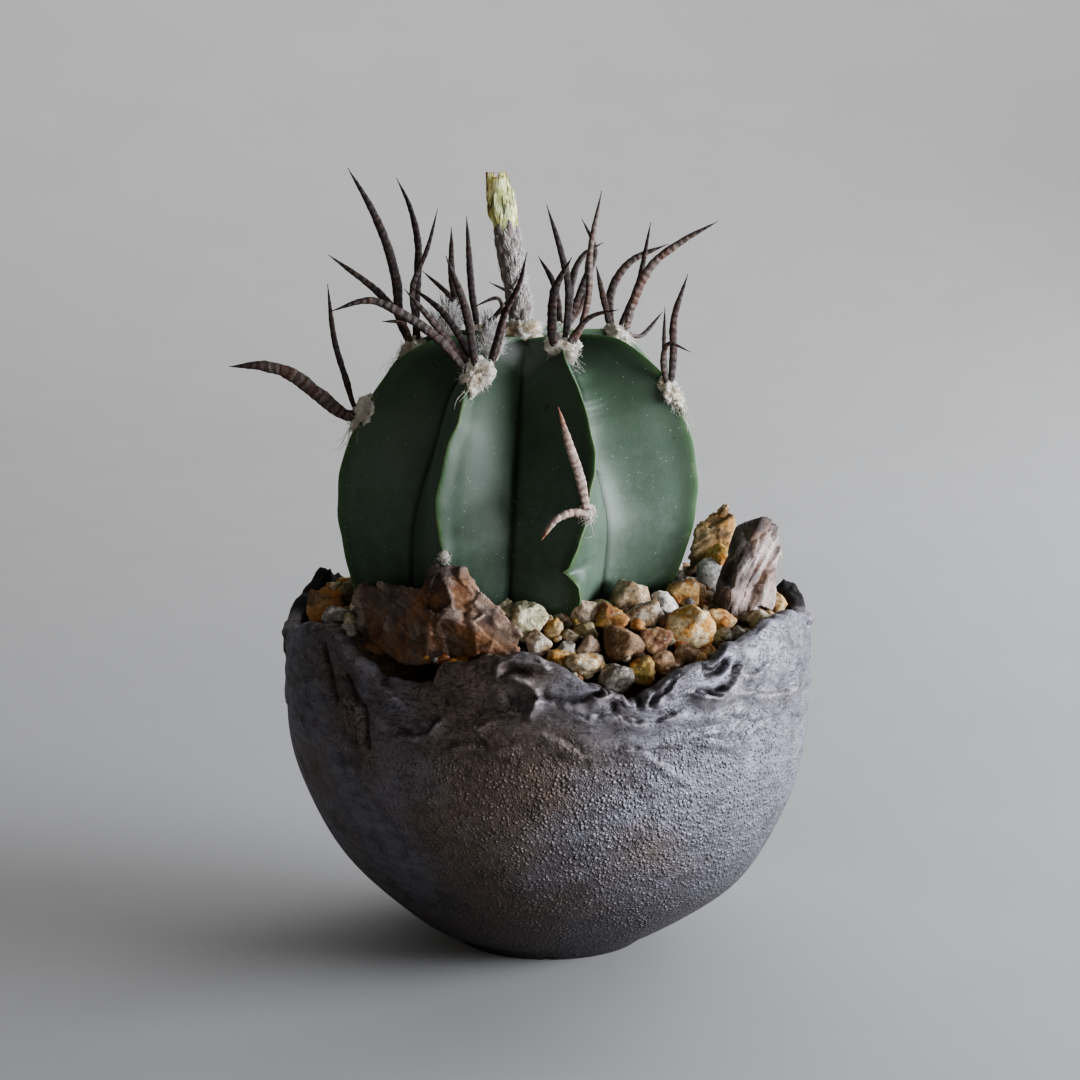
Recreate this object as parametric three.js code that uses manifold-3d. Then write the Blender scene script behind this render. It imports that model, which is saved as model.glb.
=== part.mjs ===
// A potted round cactus: a plant with eight sharp ribs in a torn stoneware bowl, with curled spines,
// the dried remains of a flower, gravel and rocks.
// Millimetres, +Z up, the front towards -Y, the origin in the middle of the bowl's foot.
import * as THREE from 'three';
import { ConvexGeometry } from 'three/addons/geometries/ConvexGeometry.js';
import { mergeVertices } from 'three/addons/utils/BufferGeometryUtils.js';
import Module from 'manifold-3d';

const { degToRad, lerp, smoothstep } = THREE.MathUtils;
const wasm = await Module();
wasm.setup();

// The free gap between two pieces that lie on each other.
const gap = 0.3;
const shortEdge = 0.05;

// The bowl is a ball cut off at a torn rim, with a small flat foot.
const bowlRadius = 50;
const bowlMiddle = 48.4;
const bowlColumns = 72;
const footRadius = 18;
const wall = 4.8;
const rimWall = 3;
const drainRadius = 1.8;
const drainDistance = 8.5;
const grooveDepth = 0.8;

// The torn rim: [degrees counter-clockwise from +X, height], read round the bowl.
const rimHeights = [
  [0, 65.6], [4, 67.1], [9, 68.1], [13, 67.1], [17, 65.1], [30, 64.1], [48, 66.1], [65, 64.6], [85, 66.6],
  [105, 64.6], [125, 66.6], [140, 65.6], [147, 64.7], [151, 66.3], [162, 68.1], [170, 66.1], [180, 63.6],
  [188, 62.3], [205, 65.6], [212, 66.4], [219, 64.6], [225, 62.6], [232, 60.1], [241, 59.1], [245, 59.9],
  [247, 63.6], [260, 65.3], [265, 66.5], [272, 63.6], [278, 60.8], [286, 57.5], [292, 59.6],
  [298, 62.4], [307, 62.9], [311, 64.9], [321, 66.1], [327, 67.4], [335, 67.7], [345, 66.6], [354, 65.1],
  [360, 65.6],
];

// The plant's body: its crest line, as [distance from the axis, height], from the crown to the root.
const crestLine = [
  [0, 115.5], [8, 116.6], [16, 116.6], [21, 114.9], [25.5, 111.7], [29.3, 106.9], [32, 101.7],
  [34.2, 96.1], [35, 90.1], [34.8, 84.1], [33.4, 77.5], [31.2, 70.3], [28, 65.1], [22, 59.1], [13, 53.1],
  [7, 47.1], [4.5, 41.1], [0, 37.1],
];
const ribDirections = [-24, 22, 71, 116, 160, 205, 246, 291];
const ribDepth = 0.3;
const flankSwell = -0.25;
const flanksPerRib = 10;
const bodyRows = 18;
const bodyAxis = -6.1;
const bodyLean = 0.06;
const leanHeight = 87;

// A plainer plant, a little larger, cuts the pieces that lie against it.
const cutter = { grown: 0.75, flanks: 6, rows: 14 };

// Soil and gravel.
const soilTop = 52;
const soilMargin = 0.9;
const heapTop = 67.4;
const heapFoot = 29;
const gravelEdge = 44;
const gravelLevel = 65;
const gravelDip = 6;
const dipDirection = 280;
const bedSink = 0.2;

// Pebbles that were laid by hand: [x, y, z, length, height].
const laidPebbles = [
  [14.5, -20, 69.9, 7, 7], [21, -19, 68.9, 4.8, 4.4], [26, -12.5, 69.3, 6.7, 6.2],
  [25.5, -28, 65.7, 8.4, 7.4], [31, -20.5, 65.7, 8, 4.6], [31, -26.5, 63.8, 4.4, 4],
  [34.5, -22.5, 64.1, 2.8, 2.4], [39, -15.5, 65.1, 6.6, 3.6], [43.2, -4.5, 65.9, 4.8, 4],
  [11, -29.5, 68.1, 6.5, 5.4], [17.5, -25.5, 68.1, 7.2, 4.8], [6.5, -28.5, 68.7, 3.6, 5],
  [6.5, -32.5, 66.4, 4.4, 3], [12.5, -35, 64.5, 8, 6], [19.2, -32, 64.6, 5.8, 5.2],
  [21.5, -26, 66.1, 4.4, 3.6], [7, -36, 64.4, 3.9, 3.5], [1, -33, 66.8, 3.4, 3.9],
  [4, -34, 65.7, 3.1, 2.8], [3, -37, 64.1, 3.5, 2.9], [6.5, -39.5, 62, 7.4, 4.3],
  [1.5, -38.5, 62.9, 3.9, 3.4], [12, -41.3, 59.7, 5.4, 5.2], [16.7, -39.6, 60.7, 4.8, 5.4],
  [20.5, -37.2, 61.4, 4, 5], [29, -31, 62.1, 3.6, 2.9], [24.5, -33, 62.3, 5.5, 3.4],
  [31.2, 1, 70, 6.6, 6.4], [24.8, 0.5, 69, 3.8, 4.2], [32.8, 3.6, 73.2, 5.6, 5.2],
  [-4.3, -32.2, 68.3, 6.6, 7], [-7.6, -29.8, 69.2, 3.8, 4.8], [-2, -36.7, 64.9, 4.2, 5],
  [-40.6, -15, 65.5, 3.9, 3.4], [-38.4, -17.8, 66.1, 3.9, 3.6], [-36.6, -20.6, 65.9, 2.8, 3.5],
  [-37, -22.3, 63.9, 4, 3.4], [-41.2, 5.5, 66.4, 3.2, 4], [-37.8, -2, 67.7, 4.6, 4.4],
];
const pebbleSeed = 2027;
const pebbleTries = 1400;
const pebbleSizes = [4.6, 8];
const pebbleSpacing = 0.43;
const pebbleFlatness = 0.8;

// Rocks, as the corners of their lumps: [x, y, z].
const frontRockLumps = [
  [
    [-35.7, -22, 73.3], [-35.5, -24, 67.1], [-33.5, -28, 62.1], [-25, -35.5, 60.6], [-20, -38.5, 62.1],
    [-22, -37, 71.1], [-27, -30, 74.4], [-23, -33, 74.7], [-33, -17.5, 72.6], [-32, -19, 61.1],
    [-22, -30, 73.1], [-21, -31, 60.1],
  ],
  [
    [-18.8, -35, 80.4], [-21.4, -34.6, 78.5], [-15.8, -35.4, 79.5], [-12.5, -36, 75.7],
    [-22.5, -38.5, 62.1], [-13, -40.5, 63.1], [-24, -32, 61.1], [-13, -32, 61.1], [-16, -39.4, 70.1],
    [-21.5, -38.2, 71.1], [-24, -33, 73.1],
  ],
  [
    [-16, -36, 78.1], [-11.5, -37.4, 74.5], [-8, -38.5, 71.5], [-4.6, -39.6, 67.5], [-5.2, -40.6, 64.1],
    [-13, -41, 64.1], [-14, -40, 69.1], [-12, -33.5, 69.1], [-6, -36, 65.5], [-8, -35, 61.6],
    [-13, -36, 61.1],
  ],
];
const rightRockLumps = [
  [
    [34.1, -14, 81.4], [43, -14, 83.7], [43.8, -12, 77.7], [43.2, -12, 70.1], [40.8, -14, 66.3],
    [34.4, -18, 65.1], [30.3, -16, 66.7], [31.1, -14, 70.5], [33.3, -14, 76.1], [36, -8, 81.1],
    [42.6, -8.5, 82.7], [42.6, -6, 69.1], [33, -8, 67.1], [33, -15, 60.6], [40.5, -10, 60.6],
    [39.5, -6, 60.6], [33, -8, 60.6],
  ],
];
const backRockLumps = [
  [
    [26.5, 10, 71.4], [29.4, 12, 79.3], [33.7, 12, 82.9], [35.9, 12.5, 80.7], [36.4, 9, 73.1],
    [33, 7, 68.1], [26.5, 8, 66.6], [28, 16, 73.1], [33, 16.5, 79.6], [36, 15.5, 75.1], [36, 12, 61.1],
    [27, 15, 60.6], [27.5, 8, 60.6], [34, 8, 60.6],
  ],
];
const leftRockLumps = [
  [
    [-45.4, -7, 68.7], [-42, -6, 70.1], [-39, -7, 68.6], [-38.6, -10, 66.1], [-41, -12.5, 64.1],
    [-44.6, -11, 63.6], [-45.8, -9, 66.1], [-43, -8, 59.6], [-39, -7, 59.6], [-42.6, -2.5, 67.1],
    [-40, -3, 61.1],
  ],
];

// Areoles: where each sits, its wool's [length down the crest, width, height], and its spines, each
// with its width and the points that it passes through.
const areoles = [
  {
    name: 'left', at: [-34.6, -11, 103.1], wool: [7.5, 5, 4], spines: [
      [3.6, [-37.5, -12, 103.1], [-42.5, -13.5, 107.1], [-47.5, -15, 111.1], [-52.5, -16, 112.7],
        [-58.5, -17, 112.7]],
      [1.6, [-36, -11.5, 104.6], [-37.5, -12, 109.6], [-39.5, -13, 117.1], [-40.5, -15, 127.6]],
    ],
  },
  {
    name: 'front_left', at: [-13.2, -23, 111.4], wool: [9, 6.6, 4.6], spines: [
      [2.4, [-15, -23, 112.7], [-20, -25, 118.6], [-26, -27, 123.1], [-32, -29, 125.9], [-39, -31, 124.1]],
      [2, [-14.6, -22, 113.3], [-21, -24, 121.6], [-26, -25, 127.6]],
      [1.9, [-13.6, -20.5, 113.5], [-19, -20.5, 122.6], [-25, -20, 127.6]],
      [2.2, [-13.4, -23, 113.6], [-15, -24, 123.6], [-18.5, -26, 133.6]],
      [1.9, [-11.6, -21.5, 112.1], [-9.5, -22, 118.1], [-8, -22.5, 123.1], [-5.5, -23, 128.1],
        [-4, -23, 134.1]],
      [1.5, [-10.4, -19.8, 113.9], [-8.4, -19.4, 121.1], [-9.2, -19, 125.3], [-14, -19, 123.7]],
    ],
  },
  {
    name: 'front_right', at: [2.6, -16, 115.9], wool: [7.5, 7, 4], spines: [
      [2.4, [1, -17.5, 116.6], [0.5, -20, 122.6], [1, -21.5, 127.1], [4, -23, 133.1]],
      [2, [3, -14.5, 117.3], [4.5, -11, 129.1], [6.5, -9, 132.6], [10, -7, 134.6]],
      [1.9, [2.8, -16.4, 117.3], [3.5, -16.8, 126.6], [2, -17, 134.1], [-0.5, -17, 142.1]],
      [2, [4.5, -16.5, 117.1], [7, -16.5, 124.6], [7.5, -16, 134.1], [9.5, -15, 144.6]],
      [1.6, [4.2, -17.5, 118.1], [7.5, -20, 122.1], [12.5, -22, 123.6]],
    ],
  },
  {
    name: 'right', at: [22.6, -9, 106.3], wool: [8.5, 5.6, 4], spines: [
      [2, [22.6, -9.5, 108.1], [23, -10, 114.1], [23, -10.5, 120.6], [25.5, -11, 129.1]],
      [1.2, [22, -8, 108.5], [21.4, -7.5, 114.6], [21.5, -7, 122.6]],
      [1.5, [21.6, -10.5, 109.6], [21, -12.5, 114.1], [22, -14, 116.6], [26, -15, 115.1]],
    ],
  },
  {
    name: 'back_right', at: [13.2, 9, 115.1], wool: [7.5, 7, 4], spines: [
      [2.4, [14.6, 9, 116.5], [16, 8.5, 121.6], [19.5, 8, 129.1], [25, 7.5, 133.6], [32, 7, 137.6]],
      [2.2, [12.2, 10.6, 116.6], [12, 14, 123.6], [15.5, 15.5, 129.1], [23, 17, 132.6]],
      [1.5, [13.6, 10, 117.1], [17, 11, 125.1], [19.5, 12, 137.1]],
      [1.5, [14.4, 11.4, 116.1], [18, 19, 114.6], [22.5, 26, 118.6]],
      [1.8, [12, 9, 117.1], [10.5, 9, 122.6], [9, 9, 129.1]],
    ],
  },
  {
    name: 'far_right', at: [2.8, 20.4, 114.5], wool: [6.5, 6, 3.6], spines: [
      [2, [3.6, 20.4, 116.5], [7, 20.5, 125.1], [9, 21, 131.1], [6.5, 21.5, 137.1]],
      [1.8, [2.4, 21.4, 116.3], [1, 26, 124.1], [-2, 31, 129.1]],
      [1.5, [3.8, 21.6, 116.1], [7, 28, 121.1], [7.5, 33, 129.1]],
    ],
  },
  {
    name: 'far_left', at: [-14.2, 20.6, 113.9], wool: [6.5, 6, 3.6], spines: [
      [2, [-15.4, 20.6, 115.9], [-18.5, 21, 123.1], [-19, 22, 135.6]],
      [1.9, [-14, 20.6, 116.1], [-15, 21, 123.1], [-16, 22, 137.6]],
      [1.4, [-13, 19.8, 115.9], [-10, 17, 119.1], [-7.5, 15, 122.9], [-11.5, 14, 125.5]],
      [1.7, [-15, 21.8, 115.5], [-19, 27, 121.1], [-25, 32, 126.1]],
    ],
  },
  {
    name: 'back_left', at: [-26, 9, 112.9], wool: [6.5, 5.6, 3.8], spines: [
      [2.5, [-26.8, 9, 114.5], [-28.6, 9, 119.1], [-29, 8.5, 125.6], [-31, 8, 133.6],
        [-34, 7.5, 140.6], [-38, 7, 147.6]],
      [2.1, [-25.6, 9.5, 114.9], [-25.4, 10, 122.6], [-25, 10.5, 133.1], [-26.5, 10.5, 140.1],
        [-29, 10.5, 145.6]],
      [1.5, [-25, 8, 114.9], [-26, 7, 124.6], [-23, 6, 132.6], [-21, 5, 140.1]],
      [2, [-27, 10, 114.6], [-28.6, 10.5, 119.1], [-33, 10.5, 124.1], [-42, 9, 131.1]],
      [1.4, [-26.4, 7.4, 114.9], [-28, 4, 118.6], [-31.5, 2, 119.1]],
    ],
  },
  {
    name: 'low', at: [7.3, -32.6, 88.1], wool: [4.6, 4, 3.4], spines: [
      [1.8, [7, -33.6, 88.9], [5.5, -35, 94.6], [3.5, -37.5, 101.1], [1.5, -39, 108.1]],
      [1.7, [6.6, -33.8, 88.1], [4, -35, 88.6], [1, -37, 87.6], [-1.5, -38, 84.1]],
    ],
  },
];
const bareAreoles = [
  { name: 'old', at: [-20.4, -31.4, 80.1], wool: [2.8, 2.2, 2] },
  { name: 'shoulder', at: [-29, 11.3, 109.1], wool: [2.8, 2.6, 2.2] },
];
const spineSides = 4;
const spineSteps = 5;
const spineFlatness = 0.78;

// The dried flower and the buds.
const tubePath = [
  [-4.6, 2, 114.1], [-5.2, 2.6, 118.8], [-6.1, 3, 125.1], [-7.3, 3, 131.4], [-8.1, 3, 136.5],
];
const tubeWidths = [5.8, 4.8];
const scaleRings = 4;
const scalesPerRing = 4;
const petalCount = 8;
const petalFoot = 135.7;
const petalLengths = [9.4, 10.8];
const crownWool = { at: [-5, 2.2, 116.9], radius: 4.3, height: 2.2 };
const buds = [
  { name: 'front', at: [-10.4, -16.4, 116.5], radius: 2.2, height: 9 },
  { name: 'back', at: [-19.4, 6.8, 116.9], radius: 2.2, height: 9 },
];

const looks = {
  stoneware: { color: 0x4a4242, roughness: 0.62, metalness: 0 },
  soil: { color: 0x3a2c22, roughness: 0.95, metalness: 0 },
  gravel: { color: 0xb08a5a, roughness: 0.8, metalness: 0 },
  rock: { color: 0x5d4636, roughness: 0.85, metalness: 0 },
  skin: { color: 0x3f5a45, roughness: 0.5, metalness: 0 },
  wool: { color: 0xd9cbb4, roughness: 0.95, metalness: 0 },
  spine: { color: 0x4a3836, roughness: 0.65, metalness: 0 },
  tube: { color: 0x8f8a80, roughness: 0.9, metalness: 0 },
  petal: { color: 0xb7ab62, roughness: 0.8, metalness: 0 },
};

// A closed mesh as a solid that can be joined and cut.
function solidOf(geometry) {
  const bare = geometry.clone();
  bare.deleteAttribute('normal');
  bare.deleteAttribute('uv');
  const merged = mergeVertices(bare, 1e-4);
  return new wasm.Manifold(new wasm.Mesh({
    numProp: 3,
    vertProperties: new Float32Array(merged.attributes.position.array),
    triVerts: new Uint32Array(merged.index.array),
  }));
}

function geometryOf(solid) {
  const mesh = solid.getMesh();
  const geometry = new THREE.BufferGeometry();
  geometry.setAttribute('position', new THREE.BufferAttribute(new Float32Array(mesh.vertProperties), 3));
  geometry.setIndex(new THREE.BufferAttribute(new Uint32Array(mesh.triVerts), 1));
  return geometry;
}

// The largest body of a solid, without loose scraps and sealed hollows.
function largest(solid) {
  return solid.decompose().reduce((best, body) => (body.volume() > best.volume() ? body : best));
}

function joined(solids) {
  return solids.reduce((whole, solid) => whole.add(solid));
}

// What is left of a solid, with its shortest edges closed up.
function cut(solid, ...tools) {
  return largest(tools.reduce((rest, tool) => rest.subtract(tool), solid)).simplify(shortEdge);
}

// A ball whose points are moved: place(turn, row) gives the point at that share of a turn, counter-
// clockwise from +X, in that row, from 0 at the bottom pole up to the last one at the top pole.
function shaped(columns, rows, place) {
  const ball = new THREE.SphereGeometry(1, columns, rows);
  const { position } = ball.attributes;
  for (let i = 0; i < position.count; i += 1) {
    const column = i % (columns + 1);
    const row = rows - Math.floor(i / (columns + 1));
    const point = place((column % columns) / columns, row);
    position.setXYZ(i, point.x, point.y, point.z);
  }
  return solidOf(ball);
}

function roundPoint(turn, radius, height) {
  const angle = 2 * Math.PI * turn;
  return new THREE.Vector3(radius * Math.cos(angle), radius * Math.sin(angle), height);
}

// A value read from a list of [place, value] pairs, in straight steps.
function between(pairs, place) {
  const next = pairs.findIndex(([end]) => end >= place);
  if (next <= 0) {
    return pairs[0][1];
  }
  const [low, lowValue] = pairs[next - 1];
  const [high, highValue] = pairs[next];
  return lerp(lowValue, highValue, (place - low) / (high - low));
}

// The rim follows the list, with small ragged tears on top.
function rimHeight(turn) {
  const share = turn - Math.floor(turn);
  const angle = 2 * Math.PI * share;
  const ragged = 0.5 * Math.sin(37 * angle) + 0.4 * Math.sin(61 * angle + 1);
  return between(rimHeights, 360 * share) + ragged;
}

// How far the hand-made bowl leaves the true ball: straighter above, fuller at the foot and low on
// the right.
function handMade(turn, height) {
  const angle = 2 * Math.PI * turn;
  const straighter = 1.3 * smoothstep(height, 51, 67);
  const footSwell = 1.8 * Math.exp(-((height / 7) ** 2));
  const rightSwell = 1.8 * Math.exp(-(((height - 12) / 8) ** 2)) * Math.max(0, Math.cos(angle)) ** 2;
  const wavy = 0.35 * Math.sin(3 * angle + 0.09 * height) * smoothstep(height, 2, 14);
  return straighter + footSwell + rightSwell + wavy;
}

// A point of the bowl's outer or inner face: rise goes from 0 at the foot to 1 at the rim.
function bowlFace(turn, rise, radius, startAngle, rim, extra) {
  const rimAngle = Math.asin((rim - bowlMiddle) / radius);
  const angle = lerp(startAngle, rimAngle, rise);
  const height = bowlMiddle + radius * Math.sin(angle);
  return roundPoint(turn, radius * Math.cos(angle) + handMade(turn, height) + extra, height);
}

// The bowl's rows go from the middle of its foot up the outside, over the rim and down the inside.
const outsideRows = 7;
const insideRows = 5;
const footRows = 2;
const rimRow = footRows + outsideRows + 1;
const bowlRows = rimRow + 1 + insideRows;

function bowlPoint(turn, row, grown) {
  const rim = rimHeight(turn) + grown;
  const edge = rim - 0.8;
  if (row === 0) {
    return roundPoint(turn, 0, -grown);
  }
  if (row === 1) {
    return roundPoint(turn, footRadius + grown, -grown);
  }
  if (row < rimRow) {
    const rise = (row - footRows) / outsideRows;
    const foot = -Math.acos(footRadius / bowlRadius);
    return bowlFace(turn, rise, bowlRadius + grown, foot, edge, 0);
  }
  const thinner = wall - rimWall;
  if (row === rimRow) {
    const angle = Math.asin((rim - bowlMiddle) / bowlRadius);
    const middle = bowlRadius * Math.cos(angle) + handMade(turn, rim) - rimWall / 2;
    return roundPoint(turn, middle, rim);
  }
  if (row === bowlRows) {
    return roundPoint(turn, 0, bowlMiddle - bowlRadius + wall + grown);
  }
  const rise = (bowlRows - row) / insideRows;
  const extra = thinner * smoothstep(rise, 0.5, 1);
  return bowlFace(turn, rise, bowlRadius - wall - grown, -Math.PI / 2, edge, extra);
}

function bowl(grown) {
  return shaped(bowlColumns, bowlRows, (turn, row) => bowlPoint(turn, row, grown));
}

// Three drain holes in the foot, with a groove from each to the foot's edge.
function drains() {
  const holes = [];
  for (const direction of [30, 150, 270]) {
    const hole = new THREE.CylinderGeometry(drainRadius, drainRadius, 12, 12);
    hole.rotateX(Math.PI / 2);
    hole.translate(drainDistance, 0, 3);
    const groove = new THREE.BoxGeometry(footRadius, drainRadius, 2 * grooveDepth);
    groove.translate(drainDistance + footRadius / 2, 0, 0);
    for (const tool of [hole, groove]) {
      tool.rotateZ(degToRad(direction));
      holes.push(solidOf(tool));
    }
  }
  return joined(holes);
}

// A plain round hole in the soil for the root, as [radius, height].
function rootHole() {
  const outline = [[0, 36], [5.5, 39], [8.6, 47], [14.5, soilTop], [14.5, soilTop + 2], [0, soilTop + 2]];
  const hole = new THREE.LatheGeometry(outline.map(([x, y]) => new THREE.Vector2(x, y)), 16);
  hole.rotateX(Math.PI / 2);
  hole.translate(bodyAxis - 2, 0, 0);
  return solidOf(hole);
}

// The soil fills the bowl, with the free gap to its wall.
function soil() {
  const rows = 8;
  const radius = bowlRadius - wall - gap - soilMargin;
  const filled = shaped(36, rows, (turn, row) => {
    if (row === 0) {
      return roundPoint(turn, 0, bowlMiddle - radius);
    }
    if (row === rows) {
      return roundPoint(turn, 0, soilTop);
    }
    return bowlFace(turn, row / (rows - 1), radius, -Math.PI / 2, soilTop, 0);
  });
  return cut(filled, rootHole());
}

// The height of the heaped gravel: level near the plant, falling to the rim, most at the front.
function gravelHeight(x, y) {
  const angle = Math.atan2(y, x) - degToRad(dipDirection);
  const edge = gravelLevel - gravelDip * Math.max(0, Math.cos(angle)) ** 2;
  return lerp(heapTop, edge, smoothstep(Math.hypot(x, y), heapFoot, gravelEdge));
}

// The bed that the pebbles lie in, kept under the rim at its edge.
function gravelBed() {
  const rings = [0, 1, 1, 0.86, 0.7, 0.45, 0];
  const radius = gravelEdge + 2.2;
  return shaped(48, rings.length - 1, (turn, row) => {
    const point = roundPoint(turn, radius * rings[row], soilTop + gap);
    if (row < 2) {
      return point;
    }
    const rim = Math.min(rimHeight(turn - 0.01), rimHeight(turn), rimHeight(turn + 0.01));
    const heaped = gravelHeight(point.x, point.y) - bedSink;
    point.z = row === 2 ? Math.min(heaped, rim - 1.4) : heaped;
    return point;
  });
}

// The same row of numbers between 0 and 1 each time.
function drawsFrom(seed) {
  let state = seed;
  return () => {
    state = (state * 16807) % 2147483647;
    return state / 2147483647;
  };
}

// Smaller pebbles fill what the laid ones leave free: tried one by one, kept where there is room.
function fillPebbles() {
  const draw = drawsFrom(pebbleSeed);
  const kept = laidPebbles.map(([x, y, z, length, height]) => ({ x, y, z, length, height, laid: true }));
  for (let i = 0; i < pebbleTries; i += 1) {
    const angle = 2 * Math.PI * draw();
    const radius = 43 * Math.sqrt(draw());
    const length = lerp(pebbleSizes[0], pebbleSizes[1], draw() ** 1.6);
    const x = radius * Math.cos(angle);
    const y = radius * Math.sin(angle);
    const besidePlant = Math.hypot(x - bodyAxis, y) > 25.5 + length / 2;
    const free = kept.every((other) => (
      Math.hypot(x - other.x, y - other.y) > pebbleSpacing * (length + other.length)
    ));
    if (besidePlant && free && radius < gravelEdge - length / 2) {
      const height = length * pebbleFlatness;
      kept.push({ x, y, z: gravelHeight(x, y) + height * (draw() - 0.45) * 0.5, length, height });
    }
  }
  return kept;
}

// The larger laid pebbles are rounder, the others blocky.
function pebble({ x, y, z, length, height, laid }, draw) {
  const isRound = laid && length > 3.7;
  const stone = isRound ? new THREE.IcosahedronGeometry(0.53, 0) : new THREE.BoxGeometry(0.74, 0.74, 0.74);
  stone.scale(length, (length + height) / 2, height);
  stone.rotateX(1.2 * (draw() - 0.5));
  stone.rotateZ(2 * Math.PI * draw());
  stone.translate(x, y, z);
  return solidOf(stone);
}

function gravelBlank() {
  const draw = drawsFrom(pebbleSeed + 1);
  return joined([gravelBed(), ...fillPebbles().map((place) => pebble(place, draw))]);
}

// A rock is a few lumps, each the hull of its corners. Grown rocks keep what lies round them clear.
function rock(lumps, grown) {
  const signs = grown > 0 ? [-1, 1] : [0];
  return joined(lumps.map((corners) => {
    const points = [];
    for (const [x, y, z] of corners) {
      for (const i of signs) {
        for (const j of signs) {
          for (const k of signs) {
            points.push(new THREE.Vector3(x + i * grown, y + j * grown, z + k * grown));
          }
        }
      }
    }
    return solidOf(new ConvexGeometry(points));
  }));
}

const crestCurve = new THREE.SplineCurve(crestLine.map(([x, y]) => new THREE.Vector2(x, y)));

// A point of the plant's skin. Each rib runs from a sharp crest down two nearly flat flanks.
function skinPoint(turn, rise, grown) {
  const rib = turn * ribDirections.length;
  const from = Math.floor(rib);
  const next = ribDirections[(from + 1) % ribDirections.length];
  const nextDirection = next > ribDirections[from] ? next : next + 360;
  const direction = lerp(ribDirections[from], nextDirection, rib - from) - 90;
  const share = 1 - Math.abs(2 * (rib - from) - 1);
  const fold = share - flankSwell * share * (1 - share);
  const along = 1 - rise;
  const crest = crestCurve.getPointAt(along);
  const tangent = crestCurve.getTangentAt(along);
  const depth = ribDepth * crest.x * fold * smoothstep(crest.y, 45, 59) - grown;
  const atPole = rise === 0 || rise === 1;
  const radius = atPole ? 0 : crest.x + tangent.y * depth;
  const height = crest.y - (atPole ? Math.sign(tangent.x) * depth : tangent.x * depth);
  const point = roundPoint(direction / 360, radius, height);
  point.x += bodyAxis + bodyLean * (height - leanHeight);
  return point;
}

function plant({ grown, flanks, rows }) {
  const columns = ribDirections.length * flanks;
  return shaped(columns, rows, (turn, row) => skinPoint(turn, row / rows, grown));
}

function vectors(points) {
  return points.map(([x, y, z]) => new THREE.Vector3(x, y, z));
}

// A tapering stalk along a path: a cylinder whose points are moved onto rings round the path.
function stalk(points, thickness, { sides = spineSides, steps = spineSteps, flatness = 1 } = {}) {
  const path = new THREE.CatmullRomCurve3(vectors(points), false, 'centripetal');
  const frames = path.computeFrenetFrames(steps, false);
  const bar = new THREE.CylinderGeometry(1, 1, 1, sides, steps);
  const { position } = bar.attributes;
  for (let i = 0; i < position.count; i += 1) {
    const along = position.getY(i) + 0.5;
    const step = Math.round(along * steps);
    const centre = path.getPointAt(along);
    const half = thickness(along) / 2;
    centre.addScaledVector(frames.normals[step], position.getX(i) * half);
    centre.addScaledVector(frames.binormals[step], -position.getZ(i) * half * flatness);
    position.setXYZ(i, centre.x, centre.y, centre.z);
  }
  return solidOf(bar);
}

// A spine keeps its width for the first half and then runs out to a point.
function spineThickness(width, grown) {
  return (along) => Math.max(0.4, width * (1 - along ** 2.4)) + 2 * grown;
}

// All spines of an areole grow from one root.
function spineBunch({ at, spines }, grown) {
  const stalks = spines.map(([width, ...path]) => (
    stalk([at, ...path], spineThickness(width, grown), { flatness: spineFlatness })
  ));
  return joined(stalks);
}

// A lumpy pad of wool over a crest, longest down the crest.
function woolPad(at, [length, width, height]) {
  const outwards = new THREE.Vector3(at[0] - bodyAxis, at[1], 0).normalize();
  const slope = Math.atan2(at[2] - bowlMiddle - 40, Math.hypot(at[0] - bodyAxis, at[1]));
  const up = outwards.clone().multiplyScalar(Math.cos(slope));
  up.z = Math.sin(slope);
  const across = new THREE.Vector3(-outwards.y, outwards.x, 0);
  const down = new THREE.Vector3().crossVectors(across, up);
  const rows = 4;
  return shaped(8, rows, (turn, row) => {
    const lift = Math.PI * (row / rows - 0.5);
    const lump = 1 + 0.1 * Math.sin(2 * Math.PI * turn * 5 + row * 2) * Math.cos(lift);
    const flat = roundPoint(turn, Math.cos(lift) * lump, Math.sin(lift) * lump);
    return new THREE.Vector3(...at)
      .addScaledVector(down, (flat.x * length) / 2)
      .addScaledVector(across, (flat.y * width) / 2)
      .addScaledVector(up, (flat.z * height) / 2);
  });
}

// The wool in the crown: a lumpy dome round the flower's tube.
function crownDome({ at: [x, y, z], radius, height }) {
  const rows = 4;
  return shaped(12, rows, (turn, row) => {
    const lift = row === 0 ? 0 : (Math.PI / 2) * ((row - 1) / (rows - 1));
    const out = row === 0 ? 0 : Math.cos(lift) * (1 + 0.12 * Math.sin(2 * Math.PI * turn * 5));
    const point = roundPoint(turn, radius * out, height * Math.sin(lift));
    return point.add(new THREE.Vector3(x, y, z));
  });
}

// A thin spike, for the scales of the flower's tube and the bristles of the buds.
function spike(foot, direction, length, width) {
  const cone = new THREE.ConeGeometry(width / 2, length, 3);
  cone.translate(0, length / 2, 0);
  const turn = new THREE.Quaternion();
  turn.setFromUnitVectors(new THREE.Vector3(0, 1, 0), direction.clone().normalize());
  cone.applyQuaternion(turn);
  cone.translate(foot.x, foot.y, foot.z);
  return solidOf(cone);
}

function tubeStalk(grown) {
  const widths = (along) => lerp(tubeWidths[0], tubeWidths[1], along) + 2 * grown;
  return stalk(tubePath, widths, { sides: 8, steps: 4 });
}

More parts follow.
